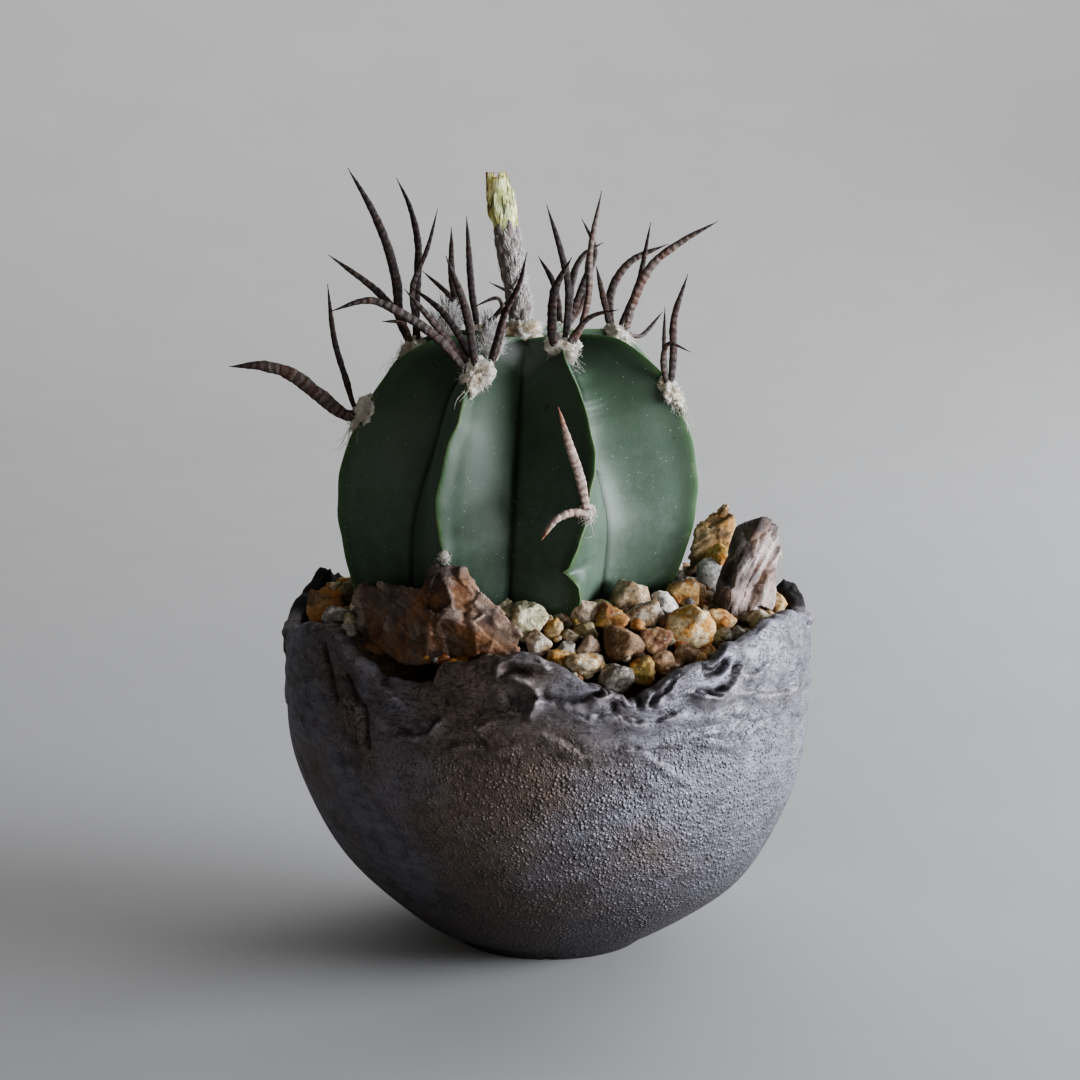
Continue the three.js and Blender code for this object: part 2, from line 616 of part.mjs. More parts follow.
function flowerTube() {
  const parts = [tubeStalk(0)];
  const path = new THREE.CatmullRomCurve3(vectors(tubePath));
  for (let ring = 0; ring < scaleRings; ring += 1) {
    const along = lerp(0.3, 0.86, ring / (scaleRings - 1));
    const centre = path.getPointAt(along);
    for (let i = 0; i < scalesPerRing; i += 1) {
      const angle = (2 * Math.PI * (i + ring / 2)) / scalesPerRing;
      const out = new THREE.Vector3(Math.cos(angle), Math.sin(angle), 0);
      const foot = centre.clone().addScaledVector(out, tubeWidths[1] / 2 - 0.6);
      const direction = out.multiplyScalar(0.4).add(new THREE.Vector3(0, 0, 1));
      parts.push(spike(foot, direction, 3.6, 1.9));
    }
  }
  return joined(parts);
}

function flowerPetals() {
  const draw = drawsFrom(pebbleSeed + 2);
  const [x, y] = tubePath[tubePath.length - 1];
  const core = [0, 3, 6].map((rise) => [x - 0.14 * rise, y, petalFoot + rise]);
  const blades = [stalk(core, (along) => 3.4 - 2 * along, { sides: 5, steps: 1 })];
  for (let i = 0; i < petalCount; i += 1) {
    const angle = (2 * Math.PI * (i + 0.4 * draw())) / petalCount;
    const length = lerp(petalLengths[0], petalLengths[1], draw());
    const place = (out, rise) => [
      x + out * Math.cos(angle) - 0.14 * rise,
      y + out * Math.sin(angle),
      petalFoot + rise,
    ];
    const path = [place(1.4, 0), place(2.3, 0.4 * length), place(1.6 + 1.2 * draw(), length)];
    blades.push(stalk(path, (along) => 2.5 - 1.2 * along ** 3, { sides: 3, steps: 3, flatness: 0.6 }));
  }
  return joined(blades);
}

const bristles = 7;

// A bud: an egg with bristles standing up round it.
function bud({ at: [x, y, z], radius, height }) {
  const rows = 5;
  const egg = shaped(8, rows, (turn, row) => {
    const lift = Math.PI * (row / rows - 0.5);
    const point = roundPoint(turn, radius * Math.cos(lift), (height / 2) * Math.sin(lift));
    return point.add(new THREE.Vector3(x, y, z));
  });
  const parts = [egg];
  for (let i = 0; i < bristles; i += 1) {
    const angle = (2 * Math.PI * i * 4) / bristles;
    const lift = 0.15 + 0.07 * i;
    const out = new THREE.Vector3(Math.cos(angle), Math.sin(angle), 0);
    const foot = new THREE.Vector3(x, y, z + (height / 2) * (lift - 0.25))
      .addScaledVector(out, radius * 0.62 * Math.cos(lift));
    const direction = out.clone().multiplyScalar(0.35).add(new THREE.Vector3(0, 0, 1));
    parts.push(spike(foot, direction, 3.4, 1.3));
  }
  return joined(parts);
}

const object = new THREE.Group();

function addPart(name, look, solid) {
  const material = new THREE.MeshStandardMaterial(looks[look]);
  const mesh = new THREE.Mesh(geometryOf(solid), material);
  mesh.name = name;
  object.add(mesh);
}

const grownBowl = bowl(gap);
const grownPlant = plant(cutter);
const rocks = {
  front: frontRockLumps,
  right: rightRockLumps,
  back_right: backRockLumps,
  left: leftRockLumps,
};

addPart('pot', 'stoneware', cut(bowl(0), drains()));
addPart('soil', 'soil', soil());
addPart('cactus_body', 'skin', plant({ grown: 0, flanks: flanksPerRib, rows: bodyRows }));

const grownRocks = Object.values(rocks).map((lumps) => rock(lumps, gap));
addPart('gravel', 'gravel', cut(gravelBlank(), grownBowl, grownPlant, ...grownRocks));
for (const [name, lumps] of Object.entries(rocks)) {
  addPart(`rock_${name}`, 'rock', cut(rock(lumps, 0), grownBowl, grownPlant));
}

const grownTube = tubeStalk(gap);
addPart('flower_tube', 'tube', cut(flowerTube(), grownPlant));
addPart('flower_petals', 'petal', cut(flowerPetals(), grownTube));
addPart('wool_crown', 'wool', cut(crownDome(crownWool), grownTube));

for (const areole of areoles) {
  const grownBunch = spineBunch(areole, gap);
  addPart(`spines_${areole.name}`, 'spine', cut(spineBunch(areole, 0), grownPlant));
  addPart(`wool_${areole.name}`, 'wool', cut(woolPad(areole.at, areole.wool), grownPlant, grownBunch));
}
for (const { name, at, wool } of bareAreoles) {
  addPart(`wool_${name}`, 'wool', cut(woolPad(at, wool), grownPlant));
}
for (const place of buds) {
  addPart(`bud_${place.name}`, 'tube', cut(bud(place), grownPlant));
}

export default object;
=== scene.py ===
# %% [markdown]
# # A potted round cactus
#
# A small ribbed cactus sits in a torn stoneware bowl among gravel and rocks. The measured model is
# loaded first and never changed. Each new mesh takes the place of one or more of its nodes, keeps
# their size and place, and adds what the eye looks for: granular clay, waxy skin, ringed spines,
# wool and stained stone.

# %% Load the measured model
import math

import bmesh
import bpy
from mathutils import Matrix, Vector, noise


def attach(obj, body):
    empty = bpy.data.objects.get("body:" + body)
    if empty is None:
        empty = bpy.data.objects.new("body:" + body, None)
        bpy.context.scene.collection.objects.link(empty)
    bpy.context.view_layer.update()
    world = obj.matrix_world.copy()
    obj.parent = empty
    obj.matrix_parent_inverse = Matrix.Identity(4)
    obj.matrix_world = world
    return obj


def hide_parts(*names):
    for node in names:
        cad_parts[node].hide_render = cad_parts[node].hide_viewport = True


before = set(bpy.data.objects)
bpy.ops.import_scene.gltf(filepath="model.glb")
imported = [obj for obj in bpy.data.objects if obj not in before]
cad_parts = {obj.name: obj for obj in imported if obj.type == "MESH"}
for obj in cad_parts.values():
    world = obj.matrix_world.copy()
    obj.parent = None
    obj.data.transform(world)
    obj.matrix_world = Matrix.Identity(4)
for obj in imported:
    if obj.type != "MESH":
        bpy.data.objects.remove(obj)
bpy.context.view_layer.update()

# %% [markdown]
# ## Camera, floor and light
#
# The photograph was taken with a long lens, a little above the object. A lens of 96 mm on a 36 mm
# sensor from 55 cm gives the same perspective. A broad cool light from the right models the bowl, as
# a window would, and a weaker one behind it draws the plant's edge. Faint warm ones stand for what
# the left wall and the room throw back, and the last one brightens the backdrop.

# %% Set up the camera and the lights
MM = 0.001
CAMERA_PLACE, CAMERA_TILT, LENS, SENSOR = (-0.0017, -0.5416, 0.1730), math.radians(80), 96.1, 36
SKY, SKY_STRENGTH = (0.72, 0.72, 0.72, 1), 0.12
MIDDLE, BACKDROP = (0, 0, 0.07), (0, 1.6, 0.5)
LIGHTS = {
    # The place, what it faces, the size, the watts and the colour.
    "window": ((0.79, -0.15, 0.165), MIDDLE, (0.66, 0.34), 22, (0.90, 0.93, 1.0)),
    "rear_window": ((0.62, 0.6, 0.4), MIDDLE, (0.6, 0.5), 4.5, (0.9, 0.94, 1.0)),
    "left_wall": ((-0.9, -0.42, 0.1), MIDDLE, (0.5, 0.3), 0.3, (1.0, 0.97, 0.92)),
    "room": ((0.05, -1.0, 0.22), MIDDLE, (0.9, 0.4), 1.9, (1.0, 0.95, 0.88)),
    "wall_wash": ((0.0, 0.7, 1.3), BACKDROP, (1.6, 0.6), 18, (1.0, 0.98, 0.95)),
}
scene = bpy.context.scene


def link(name, data):
    made = bpy.data.objects.new(name, data)
    scene.collection.objects.link(made)
    return made


camera = link("camera", bpy.data.cameras.new("camera"))
camera.location = CAMERA_PLACE
camera.rotation_euler = (CAMERA_TILT, 0, 0)
camera.data.lens = LENS
camera.data.sensor_width = SENSOR
camera.data.clip_start = 0.01
scene.camera = camera

for name, (spot, target, size, watts, colour) in LIGHTS.items():
    lamp = link(name, bpy.data.lights.new(name, "AREA"))
    lamp.data.shape = "RECTANGLE"
    lamp.data.size, lamp.data.size_y = size
    lamp.data.energy = watts
    lamp.data.color = colour
    lamp.location = spot
    lamp.rotation_euler = (Vector(target) - Vector(spot)).to_track_quat("-Z", "Y").to_euler()

world = bpy.data.worlds.new("pale_room")
world.use_nodes = True
background = world.node_tree.nodes["Background"].inputs
background["Color"].default_value = SKY
background["Strength"].default_value = SKY_STRENGTH
scene.world = world
scene.view_settings.look = "AgX - Medium High Contrast"

# %% [markdown]
# ## Tools for finishes
#
# A finish is a small network of shader nodes. Written by hand it needs a line for every node and
# wire, so one class wraps a node's output and lets ordinary arithmetic add the Math nodes. Another
# holds the material and adds any other node from its type, its settings and its inputs. Most colours
# below are a ground colour with coats over it, each shown by its own mask.


# %% Shader expressions
class Value:
    """One output of a shader node, usable in arithmetic."""

    def __init__(self, finish, socket):
        self.finish = finish
        self.socket = socket

    def maths(self, operation, *others):
        return self.finish.node("Math", {"operation": operation}, dict(enumerate((self, *others))))

    def __add__(self, other):
        return self.maths("ADD", other)

    def __sub__(self, other):
        return self.maths("SUBTRACT", other)

    def __mul__(self, other):
        return self.maths("MULTIPLY", other)

    def __truediv__(self, other):
        return self.maths("DIVIDE", other)

    def __rsub__(self, other):
        return self.finish.node("Math", {"operation": "SUBTRACT"}, {0: other, 1: self})

    __radd__ = __add__
    __rmul__ = __mul__

    def clamp(self):
        return self.finish.node("Math", {"operation": "ADD", "use_clamp": True}, {0: self, 1: 0})

    def step(self, low, high):
        """0 below low, 1 above high, and a smooth rise between them."""
        inputs = {"Value": self, "From Min": low, "From Max": high}
        return self.finish.node("MapRange", {"interpolation_type": "SMOOTHSTEP"}, inputs)

    def ridge(self, low, middle, high):
        """1 where the value is at the middle, and 0 below low and above high."""
        return self.step(low, middle) * (1 - self.step(middle, high))


# %% Finishes
class Finish:
    """A material with one Principled shader, and the nodes that feed it."""

    def __init__(self, name, **uniform):
        self.material = bpy.data.materials.new(name)
        self.material.use_nodes = True
        self.tree = self.material.node_tree
        self.shader = self.tree.nodes["Principled BSDF"]
        self.feed(self.shader, {key.replace("_", " "): value for key, value in uniform.items()})
        place = self.node("TexCoord", output="Object")
        self.mm = self.node("Mapping", inputs={"Vector": place, "Scale": (1000, 1000, 1000)})

    def feed(self, made, inputs):
        for key, value in inputs.items():
            if isinstance(value, Value):
                self.tree.links.new(value.socket, made.inputs[key])
            elif isinstance(value, tuple) and made.inputs[key].type == "RGBA":
                made.inputs[key].default_value = (*value, 1)
            else:
                made.inputs[key].default_value = value

    def node(self, kind, settings=None, inputs=None, output=0):
        made = self.tree.nodes.new("ShaderNode" + kind)
        for key, value in (settings or {}).items():
            setattr(made, key, value)
        self.feed(made, inputs or {})
        return Value(self, made.outputs[output])

    def noise(self, scale, detail=3, roughness=0.55, where=None, distortion=0):
        inputs = {
            "Vector": where or self.mm, "Scale": scale, "Detail": detail, "Roughness": roughness,
            "Distortion": distortion,
        }
        return self.node("TexNoise", inputs=inputs)

    def dots(self, scale, low, high):
        """A scatter of round dots, 1 at their middles and 0 between them."""
        away = self.node("TexVoronoi", inputs={"Vector": self.mm, "Scale": scale}, output="Distance")
        return (1 - away).step(low, high)

    def stretched(self, scale, turn=(0, 0, 0)):
        """The object's coordinates in millimetres, turned and then stretched."""
        turned = self.node("Mapping", inputs={"Vector": self.mm, "Rotation": turn})
        return self.node("Mapping", inputs={"Vector": turned, "Scale": scale})

    def mix(self, factor, first, second, blend="MIX"):
        settings = {"data_type": "RGBA", "blend_type": blend}
        return self.node("Mix", settings, {0: factor, 6: first, 7: second}, 2)

    def coats(self, colour, *coats):
        """Paints coats over a colour, each a mask and the colour that shows where the mask is 1."""
        for mask, coat in coats:
            colour = self.mix(mask, colour, coat)
        return colour

    def mark(self, name, output="Fac"):
        return self.node("Attribute", {"attribute_name": name}, output=output)

    def part(self, vector, axis):
        return self.node("SeparateXYZ", inputs={"Vector": vector}, output=axis)

    def near(self, centres, low, high, wobble=0):
        """1 nearer than low millimetres to one of some points, and 0 beyond high."""
        measure = {"operation": "DISTANCE"}
        far = [self.node("VectorMath", measure, {0: self.mm, 1: centre}, "Value") for centre in centres]
        nearest = far[0]
        for other in far[1:]:
            nearest = nearest.maths("MINIMUM", other)
        return 1 - (nearest + wobble).step(low, high)

    def bump(self, height, distance, strength=1.0):
        inputs = {"Height": height, "Distance": distance * MM, "Strength": strength}
        return self.node("Bump", inputs=inputs)

    def finish(self, **varying):
        self.feed(self.shader, {key.replace("_", " "): value for key, value in varying.items()})
        return self.material


# %% [markdown]
# ## Tools for shapes
#
# Everything is modelled in millimetres. Three kinds of start are enough for the whole object. A
# ball whose points are moved by a formula makes closed round forms, such as the bowl and the plant.
# A bar whose rings follow a path makes spines, scales and hairs. A small ball pressed against
# planes makes pebbles. Each comes from one bmesh operator, so its faces are known to be sound.


# %% Pieces and balls
def as_mesh(bm, name, smooth=False):
    """Turns the bmesh into a mesh and frees it."""
    for face in bm.faces:
        face.smooth = smooth
    mesh = bpy.data.meshes.new(name)
    bm.to_mesh(mesh)
    bm.free()
    return mesh


def piece(bm, name, material, node):
    """Makes the bmesh an object in metres that rides on the root body, in place of the node."""
    bmesh.ops.scale(bm, vec=Vector((MM, MM, MM)), verts=bm.verts)
    mesh = as_mesh(bm, name, smooth=True)
    mesh.materials.append(material)
    made = link(name, mesh)
    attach(made, "root")
    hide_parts(node)
    triangles = sum(len(face.vertices) - 2 for face in mesh.polygons)
    print(f"{name}: {triangles} triangles")


def moved_ball(columns, rows, place, marks=None):
    """A closed mesh: place(turn, row) moves each point, with row 0 at the lower pole."""
    bm = bmesh.new()
    bmesh.ops.create_uvsphere(bm, u_segments=columns, v_segments=rows, radius=1)
    layers = {key: bm.verts.layers.float.new(key) for key in marks or {}}
    for vert in bm.verts:
        x, y, z = vert.co
        turn = round(columns * math.atan2(y, x) / math.tau) % columns / columns
        row = round(rows * math.atan2(math.hypot(x, y), -z) / math.pi)
        vert.co = place(turn, row)
        for key, layer in layers.items():
            vert[layer] = marks[key](turn, row)
    bmesh.ops.recalc_face_normals(bm, faces=bm.faces)
    return bm


def round_point(turn, radius, height):
    return Vector((radius * math.cos(math.tau * turn), radius * math.sin(math.tau * turn), height))


def lerp(low, high, share):
    return low + (high - low) * share


def smoothstep(value, low, high):
    share = min(1, max(0, (value - low) / (high - low)))
    return share * share * (3 - 2 * share)


def bell(distance, width):
    return math.exp(-((distance / width) ** 2))


def draws_from(seed):
    """The same row of numbers between 0 and 1 each time."""
    state = seed

    def draw():
        nonlocal state
        state = state * 16807 % 2147483647
        return state / 2147483647

    return draw


# %% Paths and bars
class Path:
    """A smooth line through points, read at a share of its length."""

    def __init__(self, points, power=0.5, steps=16):
        points = [Vector(point) for point in points]
        ends = [2 * points[0] - points[1], *points, 2 * points[-1] - points[-2]]
        self.line = []
        for a, b, c, d in zip(ends, ends[1:], ends[2:], ends[3:]):
            t1 = (b - a).length ** power
            t2 = t1 + (c - b).length ** power
            t3 = t2 + (d - c).length ** power
            for i in range(steps):
                t = lerp(t1, t2, i / steps)
                ab = a.lerp(b, t / t1)
                bc = b.lerp(c, (t - t1) / (t2 - t1))
                cd = c.lerp(d, (t - t2) / (t3 - t2))
                abc = ab.lerp(bc, t / t2)
                bcd = bc.lerp(cd, (t - t1) / (t3 - t1))
                self.line.append(abc.lerp(bcd, (t - t1) / (t2 - t1)))
        self.line.append(points[-1])
        self.lengths = [0]
        for a, b in zip(self.line, self.line[1:]):
            self.lengths.append(self.lengths[-1] + (b - a).length)

    def at(self, share):
        """The point at that share of the length, and the line's direction there."""
        target = share * self.lengths[-1]
        low, high = 0, len(self.line) - 2
        while low < high:
            half = (low + high + 1) // 2
            if self.lengths[half] <= target:
                low = half
            else:
                high = half - 1
        a, b = self.line[low], self.line[low + 1]
        span = self.lengths[low + 1] - self.lengths[low]
        return a.lerp(b, (target - self.lengths[low]) / span), (b - a).normalized()


def bar(sides, steps):
    """An upright bar of radius 1 and height 1 with rings of edges, for bending along a path."""
    bm = bmesh.new()
    bmesh.ops.create_cone(
        bm, cap_ends=True, segments=sides, radius1=1, radius2=1, depth=1,
        matrix=Matrix.Translation((0, 0, 0.5)),
    )
    upright = [edge for edge in bm.edges if abs(edge.verts[0].co.z - edge.verts[1].co.z) > 0.5]
    if steps > 1:
        bmesh.ops.subdivide_edges(bm, edges=upright, cuts=steps - 1)
    return as_mesh(bm, "bar")


def bend(verts, path, width_at, flatness=1, steps=40, ripple=None, marks=()):
    """Bends a bar's points along a path, with the given width at each share of its length."""
    frames = []
    across = Vector((1, 0.3, 0.2))
    for i in range(steps + 1):
        point, ahead = path.at(i / steps)
        across = (across - ahead * across.dot(ahead)).normalized()
        frames.append((point, across, ahead.cross(across)))
    for vert in verts:
        x, y, z = vert.co
        along = min(1, max(0, z))
        point, side, other = frames[round(along * steps)]
        half = width_at(along) / 2
        if ripple:
            half *= ripple(along, math.atan2(y, x))
        vert.co = point + side * (x * half) + other * (y * half * flatness)
        for layer, value in marks:
            vert[layer] = value(along)


# %% Copies and modifiers
def copies(template, count, *marks, start=None):
    """A bmesh with that many copies of a mesh, the copies' points in equal groups, and its marks."""
    bm = bmesh.new()
    if start:
        bm.from_mesh(as_mesh(start, "start"))
    before = len(bm.verts)
    for _ in range(count):
        bm.from_mesh(template)
    layers = [bm.verts.layers.float_color.get(key) or bm.verts.layers.float_color.new(key) for key in marks]
    bm.verts.ensure_lookup_table()
    size = len(template.vertices)
    groups = [bm.verts[before + i * size:before + (i + 1) * size] for i in range(count)]
    return bm, groups, layers


def after_modifiers(bm, *modifiers):
    """The bmesh as the given modifiers change it, each a type and its settings."""
    source = link("source", as_mesh(bm, "source"))
    for kind, settings in modifiers:
        made = source.modifiers.new(kind, kind)
        for key, value in settings.items():
            setattr(made, key, value)
    changed = bmesh.new()
    changed.from_mesh(source.evaluated_get(bpy.context.evaluated_depsgraph_get()).to_mesh())
    bpy.data.objects.remove(source)
    return changed


# %% [markdown]
# ## The bowl
#
# The bowl was pressed by hand from a coarse dark clay: half a ball with a torn rim. Below, the clay
# is granular. Towards the rim fingers have smeared it smooth, and its skin has folded, curled and
# cracked. The form comes from a ball of points that runs from the foot up the outside, over the rim
# and down the inside. Folds are short lines on the clay: points near a line are lifted or sunk by
# their distance from it. Grains are too small for points, so they are left to a bump.

# %% The bowl's measures
BOWL_RADIUS, BOWL_MIDDLE, FOOT_RADIUS, WALL, RIM_WALL = 50, 48.4, 18, 4.8, 2.3
BURNT = ((9, 7), (162, 11))
RIM_HEIGHTS = [
    (0, 65.6), (4, 67.1), (9, 68.1), (13, 67.1), (17, 65.1), (30, 64.1), (48, 66.1), (65, 64.6),
    (85, 66.6), (105, 64.6), (125, 66.6), (140, 65.6), (147, 64.7), (151, 66.3), (162, 68.1),
    (170, 66.1), (180, 63.6), (188, 62.3), (205, 65.6), (212, 66.4), (219, 64.6), (225, 62.6),
    (232, 60.1), (241, 59.1), (245, 59.9), (247, 63.6), (260, 65.3), (265, 66.5), (272, 63.6),
    (278, 60.8), (286, 57.5), (292, 59.6), (298, 62.4), (307, 62.9), (311, 64.9), (321, 66.1),
    (327, 67.4), (335, 67.7), (345, 66.6), (354, 65.1), (360, 65.6),
]


def between(pairs, place):
    for (low, low_value), (high, high_value) in zip(pairs, pairs[1:]):
        if place <= high:
            share = (place - low) / (high - low)
            return lerp(low_value, high_value, lerp(share, smoothstep(share, 0, 1), 0.6))
    return pairs[-1][1]


def burnt_share(turn):
    """1 at the two places where the rim burnt black and fell to crumbs, 0 elsewhere."""
    return max(bell(360 * (turn % 1) - degrees, width) for degrees, width in BURNT)


def rim_height(turn):
    """The torn rim: the measured heights with soft waves, and crumbled stretches between smooth ones."""
    around = round_point(turn, 9, 0)
    waves = 0.9 * noise.noise(around * 0.8) + 0.4 * noise.noise(around * 2.1)
    torn = smoothstep(noise.noise(around * 0.37 + Vector((0, 0, 7))), -0.05, 0.3)
    burnt = burnt_share(turn)
    crumbs = 0.6 * noise.noise(around * 4.3) + 0.5 * noise.cell(around * 1.7) + 0.4 * noise.noise(around * 9)
    crumbs = max(torn, burnt) * (1 + burnt) * crumbs
    return between(RIM_HEIGHTS, 360 * (turn % 1)) + waves + crumbs - 0.2


def hand_made(turn, height):
    """How far the bowl leaves the true ball."""
    angle = math.tau * turn
    straighter = 1.3 * smoothstep(height, 51, 67)
    foot = 1.8 * bell(height, 7)
    right = 1.8 * bell(height - 12, 8) * max(0, math.cos(angle)) ** 2
    wavy = 0.35 * math.sin(3 * angle + 0.09 * height) * smoothstep(height, 2, 14)
    return straighter + foot + right + wavy


def on_bowl(degrees, height):
    radius = math.sqrt(BOWL_RADIUS ** 2 - (height - BOWL_MIDDLE) ** 2)
    return round_point(degrees / 360, radius + hand_made(degrees / 360, height), height)


# %% [markdown]
# Each fold has a kind, a height in millimetres, a width and its line, as pairs of an angle round
# the bowl and a height. A ridge is lifted evenly on both sides, a lip has a soft back and a sharp
# undercut front, and a hollow is a ridge with a negative height.

# %% The folds in the clay
FOLDS = [
    ("ridge", 1.7, 0.8, [(262.2, 61.7), (264.7, 61), (266.6, 59.9), (267.4, 58.3), (267, 56.7), (266, 55.3)]),
    ("ridge", -1.0, 1.6, [(263.8, 58.6), (263.2, 57.4)]),
    ("lip", 1.3, 2.4, [(281.1, 58.6), (276.1, 57.2), (271, 57.3), (267.6, 58)]),
    ("ridge", 1.3, 0.8, [(259.5, 61.8), (259.9, 63.3), (261.5, 64.6), (264.9, 64.3), (269, 63.3)]),
    ("ridge", -0.8, 0.9, [(261.4, 63), (265.2, 62.7)]),
    ("lip", 1.7, 1.8, [(312.1, 60.1), (310, 57.6), (305.3, 56.2), (302, 57.1)]),
    ("ridge", -1.4, 0.7, [(303.2, 63), (303.9, 60.7), (306.8, 60.9), (309.2, 62)]),
    ("lip", 0.8, 1.8, [(334.5, 53.9), (327.3, 53.6), (320.2, 54.7), (314.9, 56.1)]),
    ("ridge", 1.0, 0.4, [(223.8, 56.1), (226.1, 53.7), (227.2, 50.1), (227.2, 47), (225.8, 44.9)]),
    ("ridge", 0.9, 0.35, [(222.6, 55), (224.8, 52.6), (225.7, 49.5), (225.6, 46.6)]),
    ("ridge", -1.1, 0.6, [(222.8, 58.5), (225, 56.4), (227.8, 53.6), (228.7, 50.6), (228.6, 46.5)]),
    ("ridge", -1.3, 0.9, [(213.2, 62.4), (215.4, 59.4), (217.2, 56.6), (218.6, 53.8)]),
    ("lip", 0.8, 2.4, [(235.6, 57.2), (232.3, 58.6), (228.1, 60.6), (223.2, 62.9)]),
    ("lip", 0.9, 1.2, [(246.5, 52.7), (244.7, 50.6), (241.7, 49.9), (238.4, 49.9)]),
    ("lip", 0.5, 1, [(257.5, 53.6), (255.6, 52.4), (253.7, 53.4)]),
    ("ridge", -1.2, 0.7, [(282.6, 56.8), (282.8, 56.2)]),
    ("ridge", -0.8, 0.6, [(288, 56.6), (288.4, 59.2)]),
    ("ridge", -0.7, 0.6, [(290.8, 56.4), (292, 59.2)]),
    ("ridge", 0.8, 0.7, [(289.4, 56), (290, 59.6)]),
    ("lip", 0.7, 1.4, [(275.3, 48.8), (273.3, 49.7), (270.4, 51)]),
    ("lip", 0.45, 1.4, [(299.3, 42.2), (295.9, 43.5), (291.9, 46.1), (288.6, 48.2), (284.7, 48.8)]),
    ("lip", 0.5, 1.2, [(307.1, 50.2), (302.4, 50.4), (298.5, 50.1)]),
    ("ridge", 0.8, 0.35, [(221.4, 54), (223.4, 51.4), (224, 48.6)]),
    ("lip", 0.8, 1.2, [(300, 62.4), (297, 60.6), (294.5, 58.2), (292, 56.8)]),
    ("lip", 0.7, 1.0, [(322, 60), (317, 58.6), (313, 59.4)]),
    ("lip", 0.6, 1.3, [(318, 49.5), (313, 47.6), (308.5, 47.2), (304, 48.4)]),
    ("lip", 0.7, 1.5, [(296, 54.2), (291.5, 52.8), (287, 53.2), (282.5, 54.6), (278, 54.4)]),
    ("lip", 0.6, 1.2, [(262, 49.6), (258, 48.4), (253.5, 49.2), (250, 48.6)]),
    ("ridge", 1.6, 0.9, [(354.4, 63.4), (354.2, 62.8)]),
    ("ridge", -1.2, 0.6, [(351.8, 62.8), (352.2, 62)]),
    ("ridge", 0.9, 0.7, [(354.3, 52.2), (354.5, 51.4)]),
    ("ridge", 0.7, 0.8, [(183, 61.6), (187, 60.2)]),
    ("lip", 0.7, 1.8, [(128, 57), (118, 55), (104, 57.5), (92, 56)]),
    ("ridge", -0.9, 1, [(60, 60), (52, 57.5), (44, 58.5), (33, 56)]),
    ("lip", 0.8, 1.6, [(150, 53), (143, 50), (133, 50.5)]),
    ("ridge", 0.9, 0.8, [(20, 61), (26, 58.5), (36, 59.5)]),
]


class Fold:
    def __init__(self, kind, height, width, line):
        self.kind, self.height, self.width = kind, height, width
        self.points = [on_bowl(*place) for place in line]
        self.middle = sum(self.points, Vector()) / len(self.points)
        self.reach = max((point - self.middle).length for point in self.points) + 3.2 * width
        self.outwards = (self.middle - Vector((0, 0, BOWL_MIDDLE))).normalized()

    def lift(self, point):
        """How far this fold lifts or sinks that point of the clay."""
        if (point - self.middle).length > self.reach:
            return 0
        best, side = 1e9, 1
        for a, b in zip(self.points, self.points[1:]):
            along = b - a
            share = min(1, max(0, (point - a).dot(along) / along.length_squared))
            away = point - a.lerp(b, share)
            if away.length < best:
                best = away.length
                side = 1 if self.outwards.cross(along).dot(away) > 0 else -1
        height = self.height * (1 + 0.7 * noise.noise(point / 3))
        wandered = best + 0.4 * min(1, self.width) * noise.noise(point / 1.3)
        if self.kind == "ridge" or side > 0:
            return height * bell(wandered, self.width)
        sharp_edge, undercut = bell(wandered, 0.35), bell(best, 1.0)
        return height * (1.9 * sharp_edge - 0.9 * undercut)


folds = [Fold(*fold) for fold in FOLDS]
print("folds in the clay:", len(folds))


# %% [markdown]
# The skin has broad dents everywhere. Two thin burnished layers lie over the upper half, and each
# ends below in a torn edge. The gouge on the left is pitted. All of these are noise at different
# scales. The rim is broken rather than round, so its section is nearly square. The columns of points
# crowd towards the front, where the folds are.

# %% The bowl's mesh
FOOT_ROWS, OUTSIDE_ROWS, RIM_ROWS, INSIDE_ROWS = 5, 140, 10, 24
BOWL_ROWS = FOOT_ROWS + OUTSIDE_ROWS + RIM_ROWS + INSIDE_ROWS
BOWL_COLUMNS = 520
FRONT_TURN, FRONT_CROWDING = 0.75, 0.085
SQUARE_RIM = 0.75
shadows = {}


def torn_layer(point, level, offset):
    """A thin layer above a torn line round the bowl, and the shadow just below its edge."""
    place = point + Vector((0, 0, offset))
    line = level + 5 * noise.noise(place / 15) + 3 * noise.noise(place / 5.5) + 1.4 * noise.noise(place / 1.7)
    over = point.z - line
    return smoothstep(over, -0.05, 0.3), bell(over + 0.2, 0.3)


def clay_skin(point):
    """How far dents, layers, pits and folds lift that point of the outside, and its painted shade."""
    skin, dark = 0.35 * noise.noise(point / 14), 0
    if point.z > 34:
        first, first_edge = torn_layer(point, 48.5, 0)
        second, second_edge = torn_layer(point, 56.5, 40)
        smears = noise.noise(Vector((point.x / 6, point.y / 6, point.z / 2.6)))
        crumpled = noise.ridged_multi_fractal(point / 5, 1, 2.1, 4, 1, 2) - 1.2
        skin += first * (0.4 + 0.25 * smears) + second * (0.45 + 0.16 * crumpled)
        some = smoothstep(noise.noise(point / 7 + Vector((0, 9, 0))), -0.1, 0.25)
        dark += some * (0.6 * first_edge + 0.8 * second_edge)
    gouge = bell((point - on_bowl(214, 56.5)).length, 5.5)
    if gouge > 0.02:
        pits = noise.ridged_multi_fractal(point / 1.7, 1, 2.2, 3, 1, 2) - 1.4
        skin -= gouge * (0.6 + 0.3 * pits)
        dark += 0.8 * gouge * smoothstep(pits, 0.0, 0.7)
    for fold in folds:
        lift = fold.lift(point)
        skin += lift
        dark += 1.2 * max(0, -lift) - 0.5 * max(0, lift)
    return skin, dark


